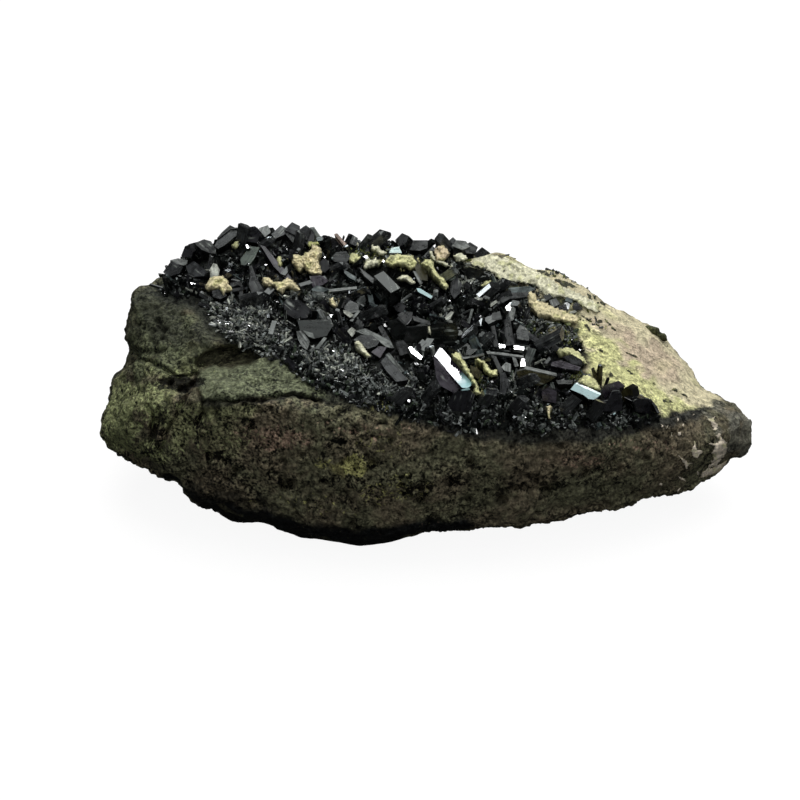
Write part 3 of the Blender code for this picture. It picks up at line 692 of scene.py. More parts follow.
def rock_material(name="granular rock", depth=1.0):
    """Matte granular stone. Its paint is broken up by grains, clustered black pits of painted shade and pale
    specks, as strongly as the paint's fourth value says. Depth scales its fine relief."""
    made, tree, shader = new_material(name)
    place = add(tree, "ShaderNodeTexCoord").outputs["Object"]
    paint = attribute(tree, "paint")
    fine = noise_at(tree, place, 2100.0, 1.0, 0.5)
    grain = noise_at(tree, place, 1150.0)
    mottle = noise_at(tree, place, 300.0)
    zones = noise_at(tree, place, 95.0, 2.0)
    chips = noise_at(tree, place, 900.0, 4.0, 0.75)
    crumbly = ranged(tree, total(tree, zones, mottle), 0.88, 1.08, 0.40, 1.0)
    in_pit = product(tree, crumbly, ranged(tree, chips, 0.405, 0.425, 1.0, 0.0))
    speck = product(tree, crumbly, ranged(tree, chips, 0.575, 0.605, 0.0, 1.0))
    pits = attribute(tree, "pits").outputs["Fac"]
    clustered = total(tree, pits, ranged(tree, chips, 0.3, 0.7, 1.0, 0.0))
    in_pit = calculated(tree, "MAXIMUM", in_pit, ranged(tree, clustered, 0.98, 1.06, 0.0, 1.0))
    shade = product(tree, crumbly, ranged(tree, fine, 0.39, 0.61, -0.62, 0.62))
    shade = total(tree, shade, ranged(tree, speck, 0.0, 1.0, 1.0, 1.8))
    for factor in (
        ranged(tree, grain, 0.37, 0.63, 0.70, 1.34),
        ranged(tree, mottle, 0.3, 0.7, 1.18, 0.84),
        calculated(tree, "SUBTRACT", 1.0, product(tree, in_pit, PIT_DARKNESS)),
    ):
        shade = product(tree, shade, factor)
    swing = product(tree, calculated(tree, "SUBTRACT", shade, 1.0), paint.outputs["Alpha"])
    kept = calculated(tree, "MAXIMUM", total(tree, swing, 1.0), LEAST_SHADE)
    colour = stained(tree, place, paint.outputs["Color"])
    tree.links.new(multiplied(tree, colour, kept), shader.inputs["Base Color"])
    shader.inputs["Roughness"].default_value = ROCK_ROUGHNESS
    shader.inputs["Specular IOR Level"].default_value = ROCK_SHINE
    low = bumped(tree, grain, 0.6 * MM * depth, 0.9)
    high = bumped(tree, fine, 0.2 * MM * depth, 0.8, low)
    floor = calculated(tree, "SUBTRACT", 1.0, in_pit)
    tree.links.new(bumped(tree, floor, 0.5 * MM * depth, 0.9, high), shader.inputs["Normal"])
    return made


FLECK = (0.34, 0.37, 0.33)
# A bluish reflection painted on the lower end of a mirror face, the roughness there and the shine of such a
# crystal.
PAINTED_COOL_REFLECTION = (0.36, 0.60, 0.63)
COOL_ROUGHNESS = 0.40
COOL_SHINE = 0.10
EPIDOTE_IOR = 1.74
GROOVE_DEPTH = 0.03 * MM


def crystal_material(name, roughness, dust=0.20, flecks=0.0, painted_cool_end=False):
    """Glassy epidote in the tint of each face: fine grooves along the crystal and a thin dust in
    places that dulls it. With a cool end, the face that catches a lamp turns duller towards its foot, with a
    painted bluish reflection there."""
    made, tree, shader = new_material(name)
    grooves = attribute(tree, "grooves").outputs["Vector"]
    lines = noise_at(tree, grooves, 1.0, 2.0, 0.5)
    place = add(tree, "ShaderNodeTexCoord").outputs["Object"]
    bloom = noise_at(tree, place, 620.0, 4.0, 0.65)
    dusty = ranged(tree, bloom, 0.35, 0.7, 0.45, 1.6)
    mottle = product(tree, dusty, ranged(tree, lines, 0.3, 0.7, 0.45, 1.55))
    colour = multiplied(tree, attribute(tree, "tint").outputs["Color"], mottle)
    fleck = ranged(tree, noise_at(tree, grooves, 0.55), 0.60, 0.68, 0.0, flecks)
    chipped = product(tree, fleck, ranged(tree, bloom, 0.45, 0.6, 0.0, 1.0))
    colour = turned_into(tree, colour, FLECK, chipped)
    dull = ranged(tree, bloom, 0.45, 0.75, roughness, roughness + dust)
    # Painted reflection: the lamp-catching face turns bluish and duller towards its foot.
    if painted_cool_end:
        share = ranged(tree, attribute(tree, "share").outputs["Fac"], 0.08, 0.36, 1.0, 0.0)
        end = product(tree, share, attribute(tree, "front").outputs["Fac"])
        colour = turned_into(tree, colour, PAINTED_COOL_REFLECTION, end)
        dull = ranged(tree, end, 0.0, 1.0, roughness, COOL_ROUGHNESS)
        shader.inputs["Specular IOR Level"].default_value = COOL_SHINE
    tree.links.new(colour, shader.inputs["Base Color"])
    tree.links.new(dull, shader.inputs["Roughness"])
    shader.inputs["IOR"].default_value = EPIDOTE_IOR
    low = bumped(tree, lines, GROOVE_DEPTH, 0.35)
    tree.links.new(bumped(tree, bloom, GROOVE_DEPTH, 0.25, low), shader.inputs["Normal"])
    return made


# The rock keeps its flat foot: relief starts at the first height and is full from the second.
STILL_HEIGHT = 0.4 * MM
FREE_HEIGHT = 3.0 * MM


def make_rock(frame, finish, crust):
    """The host rock, finely broken, pitted and painted."""
    rock = evened_copy("rock", frame["nodes"]["matrix"], ROCK_STEP)
    mesh = rock.data
    places, normals = read(mesh, "co", 3), read(mesh, "normal", 3)
    spots, seen, bed, flank = rock_masks(places, normals, crust)
    relief, recess_shade = rock_relief(places, bed, flank)
    carving = rock_carving(places, spots, seen, bed, flank)
    free = faded(places[:, 2], STILL_HEIGHT, FREE_HEIGHT)[:, None]
    moved = places + free * (normals * relief[:, None] + sights(places) * carving[:, None]) * MM
    for nudge in NUDGES:
        near = 1.0 - faded(np.hypot(*(spots - nudge.middle).T), 0.0, nudge.reach)
        step = (RIGHT * nudge.move[0] - PICTURE_UP * nudge.move[1]) * PIXEL
        moved += np.outer(near, step)
    moved[:, 2] = np.maximum(moved[:, 2], 0.0)
    # Carved places get more painted shade.
    recess_shade = np.clip(recess_shade + faded(carving, 0.5, 1.8) * 0.6, 0.0, 1.0)
    colour = rock_paint(places, spots, seen, bed, flank, recess_shade)
    mesh.vertices.foreach_set("co", moved.ravel())
    mesh.update()
    mesh.shade_smooth()
    add_attribute(mesh, "paint", "FLOAT_COLOR", colour)
    add_attribute(mesh, "stains", "FLOAT_VECTOR", stain_masks(places, spots, seen))
    add_attribute(mesh, "pits", "FLOAT", dense_share(PIT_CLUSTERS, places, spots) * seen)
    mesh.materials.append(finish)
    return rock, bed, flank


# The crystals' tints, and mixes of them with the share of each. The greys, silver, teal and purples are
# partly painted sheen, standing for light that the faces reflect.
BLACK = (0.004, 0.005, 0.0045)
SMOKE = (0.020, 0.021, 0.022)
GREY = (0.055, 0.058, 0.058)
GREEN = (0.045, 0.060, 0.040)
ASH = (0.140, 0.155, 0.145)
OLIVE_GREEN = (0.110, 0.125, 0.040)
MILK = (0.42, 0.44, 0.38)
CREAM_DUST = (0.50, 0.47, 0.24)
PURPLE_BLACK = (0.012, 0.009, 0.016)
INK = (0.010, 0.010, 0.012)
SLATE = (0.036, 0.038, 0.040)
SILVER = (0.200, 0.215, 0.205)
TEAL_GREY = (0.078, 0.100, 0.100)
OLIVE_BROWN = (0.040, 0.036, 0.014)
LEAF = (0.040, 0.056, 0.042)
PURPLE_GREY = (0.055, 0.048, 0.060)
PURPLE_DARK = (0.024, 0.020, 0.028)
# A white painted glint.
PAINTED_GLINT = (0.80, 0.84, 0.84)
PINKISH = (0.45, 0.34, 0.28)
DARK_MIX = ((BLACK, 18), (INK, 6), (SMOKE, 3), (GREY, 2), (TEAL_GREY, 1), (ASH, 1), (SILVER, 1))
FINE_MIX = ((BLACK, 12), (SMOKE, 4), (GREY, 2), (GREEN, 2), (ASH, 3), (SILVER, 2))
PALE_MIX = ((BLACK, 8), (SMOKE, 1), (GREY, 2), (GREEN, 2), (ASH, 6), (SILVER, 10), (MILK, 8))
NEEDLE_MIX = ((GREY, 2), (ASH, 4), (SILVER, 5), (TEAL_GREY, 3), (MILK, 2), (SMOKE, 2))
MOSSY_MIX = ((BLACK, 6), (GREEN, 4), (GREY, 3), (OLIVE_GREEN, 6), (CREAM_DUST, 2), (SILVER, 2))

# A crystal's faces by corner: the sides, the parts of its chisel end and its foot.
CRYSTAL_FACES = (
    (0, 1, 7, 6), (1, 2, 8, 7), (2, 3, 9, 8), (3, 4, 10, 9), (4, 5, 11, 10), (5, 0, 6, 11),
    (7, 8, 13, 12), (10, 11, 12, 13), (6, 7, 12), (11, 6, 12), (8, 9, 13), (9, 10, 13),
    (5, 4, 3, 2, 1, 0),
)


# Grooves to the millimetre across a small crystal and along it, and the ends that it may have.
FINE_GROOVES_ACROSS = 5.0
FINE_GROOVES_ALONG = 0.4
CHISEL_ENDS = (0.02, 0.02, 0.35, 0.6)


class Crystals:
    """Collects many small crystals, then makes one mesh of them."""

    def __init__(self, seed):
        self.draw = random.Random(seed)
        self.corners = []
        self.faces = []
        self.grooves = []
        self.tints = []

    def grow(self, foot, axis, length, width, thickness, tint, out=None):
        """Adds one six-sided crystal with a chisel or a broken end. Its broad face looks along out."""
        draw = self.draw
        if out is None:
            out = axis.orthogonal().normalized()
            out.rotate(Matrix.Rotation(draw.uniform(0.0, math.tau), 3, axis))
        side = out.cross(axis)
        start = len(self.corners)
        flat = draw.uniform(0.5, 0.92)
        ring = [(1.0, 0.0), (flat, 1.0), (-flat, 1.0), (-1.0, 0.0), (-flat, -1.0), (flat, -1.0)]
        ring = [
            (across * width / 2 * draw.uniform(0.88, 1.08), away * thickness / 2 * draw.uniform(0.9, 1.06))
            for across, away in ring
        ]
        tilt, pitch = draw.uniform(-0.45, 0.45), draw.uniform(-0.5, 0.5)
        chisel = draw.choice(CHISEL_ENDS)
        local = [(across, away, 0.0) for across, away in ring]
        neck = length - thickness * chisel
        local += [(across, away, neck + tilt * across + pitch * away) for across, away in ring]
        for across in (width * 0.28, -width * 0.3):
            local.append((across, 0.0, length + tilt * across))
        shift = draw.uniform(0.0, 50.0)
        for across, away, along in local:
            self.corners.append(foot + side * across + out * away + axis * along)
            self.grooves.append((
                across / MM * FINE_GROOVES_ACROSS + shift,
                away / MM * FINE_GROOVES_ACROSS,
                along / MM * FINE_GROOVES_ALONG,
            ))
        for face in CRYSTAL_FACES:
            self.faces.append([start + k for k in face])
            bright = draw.uniform(0.5, 1.6)
            self.tints.append([value * bright for value in tint] + [1.0])

    def finish(self, name, finish):
        mesh = bpy.data.meshes.new(name)
        mesh.from_pydata(self.corners, [], self.faces)
        add_attribute(mesh, "grooves", "FLOAT_VECTOR", self.grooves)
        add_attribute(mesh, "tint", "FLOAT_COLOR", self.tints, "FACE")
        mesh.materials.append(finish)
        return placed(name, mesh)


class Ground(NamedTuple):
    """The rock's surface for planting crystals: the middle of each face, its normal, its place in the
    picture and how likely a crystal grows there."""

    places: np.ndarray
    normals: np.ndarray
    spots: np.ndarray
    chance: np.ndarray


def ground_of(rock, mask):
    """Face middles of the rock, with how likely a crystal grows on each."""
    mesh = rock.data
    count = len(mesh.polygons)
    middle, normal, area = np.empty(count * 3), np.empty(count * 3), np.empty(count)
    mesh.polygons.foreach_get("center", middle)
    mesh.polygons.foreach_get("normal", normal)
    mesh.polygons.foreach_get("area", area)
    first = np.empty(count, int)
    mesh.polygons.foreach_get("loop_start", first)
    corner = np.empty(len(mesh.loops), int)
    mesh.loops.foreach_get("vertex_index", corner)
    share = mask[corner[first]]
    keep = share > 0.02
    places = middle.reshape(-1, 3)[keep]
    return Ground(places, normal.reshape(-1, 3)[keep], picture_points(places), (area * share)[keep])


# Where pale and mossy crystals grow, and where gaps stay open so that the bed's near black shows as painted
# shadow.
PALE_ZONES = (
    Blotch((246, 324), (42, 22), 1.0, 22), Blotch((336, 366), (34, 14), 0.9, 20),
    Blotch((390, 386), (34, 10), 0.6), Blotch((524, 290), (18, 12), 0.9, 30),
    Blotch((546, 322), (28, 14), 0.8, 20), Blotch((306, 300), (30, 9), 0.9, 20),
    Blotch((474, 290), (14, 12), 0.8), Blotch((510, 388), (16, 10), 0.9), Blotch((262, 231), (14, 6), 0.9),
    Blotch((480, 268), (20, 8), 0.7, 20), Blotch((330, 306), (10, 14), 0.9), Blotch((345, 240), (20, 6), 0.5),
    Blotch((452, 314), (14, 10), 0.5),
)
MOSSY_ZONES = (
    Blotch((366, 254), (24, 10), 1.0), Blotch((552, 332), (30, 14), 0.45, 20),
    Blotch((313, 245), (14, 5), 0.9), Blotch((400, 264), (26, 8), 0.8, 10),
    Blotch((455, 252), (30, 10), 0.9, 15), Blotch((500, 268), (24, 8), 0.6, 20),
    Blotch((484, 376), (16, 18), 0.6), Blotch((574, 372), (12, 14), 0.7),
)
SHADOW_GAPS = (
    Blotch((390, 283), (24, 17)), Blotch((267, 262), (11, 14)), Blotch((418, 255), (8, 6)),
    Blotch((443, 334), (16, 12)), Blotch((552, 340), (12, 9), 0.9, 20), Blotch((246, 268), (8, 10), 0.8),
    Blotch((460, 320), (8, 8), 0.7),
)


def picked_tint(draw, mix):
    """A tint drawn from a mix of tints and their shares."""
    tints, shares = zip(*mix)
    return draw.choices(tints, shares)[0]


class Sowing(NamedTuple):
    """How many crystals to plant, their lengths in millimetres, their tints, how wide they are for their
    length, how far they lean and the share kept from covering the large pieces and the flank."""

    count: int
    lengths: tuple
    mix: tuple
    plump: tuple = (0.28, 0.62)
    lean: tuple = (10, 78)
    clear: float = 0.9
    keep_off: bool = True


# The share of a small crystal that is planted in the ground, and how near it may come in front of a
# large one.
PLANTED = 0.25
COVER_REACH = 7.0 * MM


def plant(ground, crystals, sowing, fixed, weight):
    """Plants crystals on the ground, out of the way of the large pieces as seen from the eye."""
    chance = ground.chance * weight
    picked = np.random.default_rng(len(ground.places) + sowing.count).choice(
        len(ground.places), size=sowing.count, p=chance / chance.sum()
    )
    draw = crystals.draw
    for k in picked:
        place, normal = Vector(ground.places[k]), Vector(ground.normals[k])
        length = draw.uniform(*sowing.lengths) * MM
        axis = normal.copy()
        axis.rotate(Matrix.Rotation(math.radians(draw.uniform(*sowing.lean)), 3, normal.orthogonal()))
        axis.rotate(Matrix.Rotation(draw.uniform(0.0, math.tau), 3, normal))
        width = length * draw.uniform(*sowing.plump)
        foot = place - axis * (PLANTED * length)
        length *= 1.0 + PLANTED
        tip = foot + axis * length
        if fixed.ray_cast(foot, axis, length)[0] is not None or (tip - place).dot(normal) > CRUST_DEPTH:
            continue
        covers = any(
            fixed.ray_cast(foot + axis * length * share, SIGHT, COVER_REACH)[0] is not None
            for share in (0.5, 0.8, 1.0)
        )
        covers = covers or (sowing.keep_off and inside(picture_points(np.array([tip])), TAN_EDGE)[0])
        if covers and draw.random() < sowing.clear:
            continue
        thickness = width * draw.uniform(0.55, 0.95)
        crystals.grow(foot, axis, length, width, thickness, picked_tint(draw, sowing.mix))


def zone_share(zones, spots):
    """The share of some zones at each picture point."""
    return np.clip(sum(blotch_mask(zone, spots) for zone in zones), 0.0, 1.0)


def make_druse(rock, bed, flank, fixed, dark, pale):
    """The small crystals: coarse and fine ones over the bed, and pale and mossy ones in places."""
    ground = ground_of(rock, bed * (1.0 - 0.9 * flank))
    seen = seen_share(ground.normals, ground.places)
    inner = np.maximum(inside_softly(ground.spots, COARSE_OUTLINE, 5.0), 1.0 - seen)
    open_share = 1.0 - 0.95 * zone_share(SHADOW_GAPS, ground.spots) * seen
    sparse = (1.0 - 0.85 * zone_share(CRUST_PATCHES, ground.spots) * seen) * open_share
    light = zone_share(PALE_ZONES, ground.spots) * seen
    mossy = zone_share(MOSSY_ZONES, ground.spots) * seen
    plain = (1.0 - 0.9 * light) * (1.0 - 0.8 * mossy) * sparse
    coarse = Crystals(11)
    plant(ground, coarse, Sowing(700, (2.4, 4.6), DARK_MIX, (0.22, 0.55), clear=0.97), fixed, inner * plain)
    plant(ground, coarse, Sowing(1700, (1.4, 2.8), DARK_MIX, (0.16, 0.5)), fixed, (0.04 + inner) * plain)
    small = Crystals(12)
    plant(ground, small, Sowing(3600, (0.5, 1.4), FINE_MIX), fixed, (1.25 - inner) * plain)
    crest = ground_of(rock, flank)
    band = inside_softly(crest.spots, CREST_BAND, 6.0) * faded(clouds(crest.places, 4.0 * MM, 90), 0.0, 0.25)
    plant(crest, small, Sowing(420, (0.3, 0.8), MOSSY_MIX, (0.4, 0.8), (60, 88), keep_off=False), fixed, band)
    sparkling = Crystals(13)
    sparks = Sowing(4800, (0.7, 2.2), PALE_MIX, (0.08, 0.26), (45, 84))
    plant(ground, sparkling, sparks, fixed, light * open_share)
    needles = Sowing(900, (1.4, 3.4), NEEDLE_MIX, (0.07, 0.15), (45, 86))
    plant(ground, sparkling, needles, fixed, inner * open_share)
    dusted = Crystals(14)
    plant(ground, dusted, Sowing(2600, (0.5, 1.3), MOSSY_MIX), fixed, mossy * open_share)
    return [
        coarse.finish("druse_coarse", dark), small.finish("druse_fine", dark),
        sparkling.finish("druse_pale", pale), dusted.finish("druse_mossy", pale),
    ]


class Block(NamedTuple):
    """A middling crystal, by its foot and tip in the picture. Its broad face catches one of the lights
    or looks to the front, left or right, where it is dark. Sizes are in millimetres."""

    foot: tuple
    tip: tuple
    width: float
    catches: str = "front"
    thickness: float = 0.0
    raised: float = 2.4
    # Painted sheen: how far the tint is lightened from smoke towards ash.
    tone: float = 0.05


BLOCKS = (
    Block((192, 262), (188, 247), 1.8, "left"), Block((243, 243), (245, 228), 2.4, "front"),
    Block((300, 250), (304, 232), 2.0, "right"), Block((262, 247), (274, 240), 1.6, "front"),
    Block((268, 292), (276, 284), 1.4, "grey"), Block((284, 273), (292, 263), 1.6, "grey"),
    Block((244, 303), (266, 297), 2.2, "front"), Block((303, 284), (326, 277), 1.4, "grey"),
    Block((289, 306), (302, 296), 1.6, "grey"), Block((271, 332), (275, 319), 1.2, "grey", tone=0.5),
    Block((258, 300), (263, 295), 0.9, "white"), Block((362, 248), (370, 238), 1.5, "front", tone=0.3),
    Block((374, 246), (388, 234), 2.2, "front"), Block((334, 272), (346, 266), 2.0, "front"),
    Block((450, 248), (440, 237), 2.4, "right"), Block((441, 279), (455, 270), 1.8, "left", tone=0.5),
    Block((352, 320), (358, 312), 0.9, "grey"), Block((362, 318), (384, 310), 2.4, "left"),
    Block((434, 308), (447, 300), 1.6, "front"), Block((377, 337), (388, 325), 1.4, "grey"),
    Block((415, 350), (424, 341), 1.6, "grey"), Block((424, 349), (431, 338), 1.4, "grey", tone=0.4),
    Block((510, 298), (489, 306), 1.8, "front", 1.6),
    Block((488, 320), (502, 313), 1.8, "grey"), Block((541, 348), (563, 336), 2.4, "front"),
    Block((471, 300), (486, 293), 1.4, "teal"), Block((482, 300), (496, 288), 2.2, "front"),
    Block((497, 291), (509, 282), 2.0, "front"), Block((520, 384), (536, 378), 2.2, "left"),
    Block((480, 345), (490, 334), 2.0, "left"), Block((466, 340), (478, 330), 2.0, "front"),
    Block((350, 296), (366, 290), 1.4, "left"),
    Block((398, 402), (410, 390), 2.0, "front"), Block((424, 398), (436, 384), 2.2, "left"),
    Block((484, 404), (494, 392), 2.0, "front"), Block((512, 410), (524, 398), 2.2, "left"),
    Block((566, 412), (578, 400), 2.2, "front"), Block((590, 416), (598, 402), 2.2, "left"),
)
# How far behind a block the rock may be for the block to thicken back into it, and how deep it goes.
BLOCK_REACH = 4.0 * MM
BLOCK_DEPTH = 0.3 * MM
BLOCK_PLANTED = 0.15
BLOCK_THICKNESS = 0.75
# Ways for a face to look where it catches no light: its turn from the front to the right, and its
# height above level, in degrees.
FRONTS = {
    "front": (8, -12), "left": (-38, 5), "right": (42, 0), "top": (0, 50), "top_left": (-45, 45),
    "top_right": (45, 42), "low": (0, 10),
}


def lamp_direction(lamp):
    """The direction from the specimen to a far light."""
    turn, height = math.radians(lamp.azimuth), math.radians(lamp.elevation)
    level = math.cos(height)
    return Vector((math.sin(turn) * level, math.cos(turn) * level, math.sin(height)))


def facing(catches, ray):
    """The way that a face looks to send a light along the ray back to the eye, or to stay dark."""
    if catches in FRONTS:
        turn, height = (math.radians(angle) for angle in FRONTS[catches])
        level = math.cos(height)
        return Vector((math.sin(turn) * level, -math.cos(turn) * level, math.sin(height)))
    lamp = next(lamp for lamp in LAMPS if lamp.name.endswith(catches))
    return (lamp_direction(lamp) - ray).normalized()


def sight_line(spot):
    """The direction from the eye through a picture point."""
    across = (spot[0] - PICTURE_SIDE / 2) * PIXEL
    up = (PICTURE_SIDE / 2 - spot[1]) * PIXEL
    return (SIGHT * VIEW_DISTANCE + RIGHT * across + PICTURE_UP * up).normalized()


def seen_depth(spot, tree):
    """How far along the sight line the rock is, at a picture point or just below it."""
    for lower in range(60):
        hit = tree.ray_cast(EYE, sight_line((spot[0], spot[1] + lower)))[0]
        if hit is not None:
            return (hit - EYE).dot(SIGHT)
    raise ValueError(f"no rock below the picture point {spot}")


def make_blocks(rock_tree, skin, finish):
    """The middling crystals, each at its place in the picture, a little above the rock."""
    made = Crystals(21)
    for block in BLOCKS:
        ray = sight_line(block.foot)
        depth = seen_depth(block.foot, rock_tree) - block.raised * MM
        foot = EYE + ray * (depth / ray.dot(SIGHT))
        out = facing(block.catches, ray)
        tip_ray = sight_line(block.tip)
        reach = (foot - EYE).dot(out) / tip_ray.dot(out)
        axis = EYE + tip_ray * reach - foot
        length = axis.length
        axis.normalize()
        thickness = (block.thickness or block.width * BLOCK_THICKNESS) * MM
        behind = skin.ray_cast(foot, -out, BLOCK_REACH)[3]
        thickness = max(thickness, (behind or 0.0) + BLOCK_DEPTH)
        sunk = foot - axis * (BLOCK_PLANTED * length) - out * (thickness / 2)
        # Painted sheen lightens the tint from smoke towards ash.
        tint = [dark + (light - dark) * block.tone for dark, light in zip(SMOKE, ASH)]
        made.grow(sunk, axis, length * (1.0 + BLOCK_PLANTED), block.width * MM, thickness, tint, out)
    return made.finish("druse_blocks", finish)


class Facet(NamedTuple):
    """A crystal by the outline of its visible top face in the picture. The face catches a light or looks
    one of the ways in FRONTS, and the body goes down behind it, leaning by so many pixels. Sizes are in
    millimetres."""

    outline: tuple
    tint: tuple = SMOKE
    thickness: float = 2.2
    raised: float = 2.6
    catches: str = "top"
    lean: tuple = (0, 0)


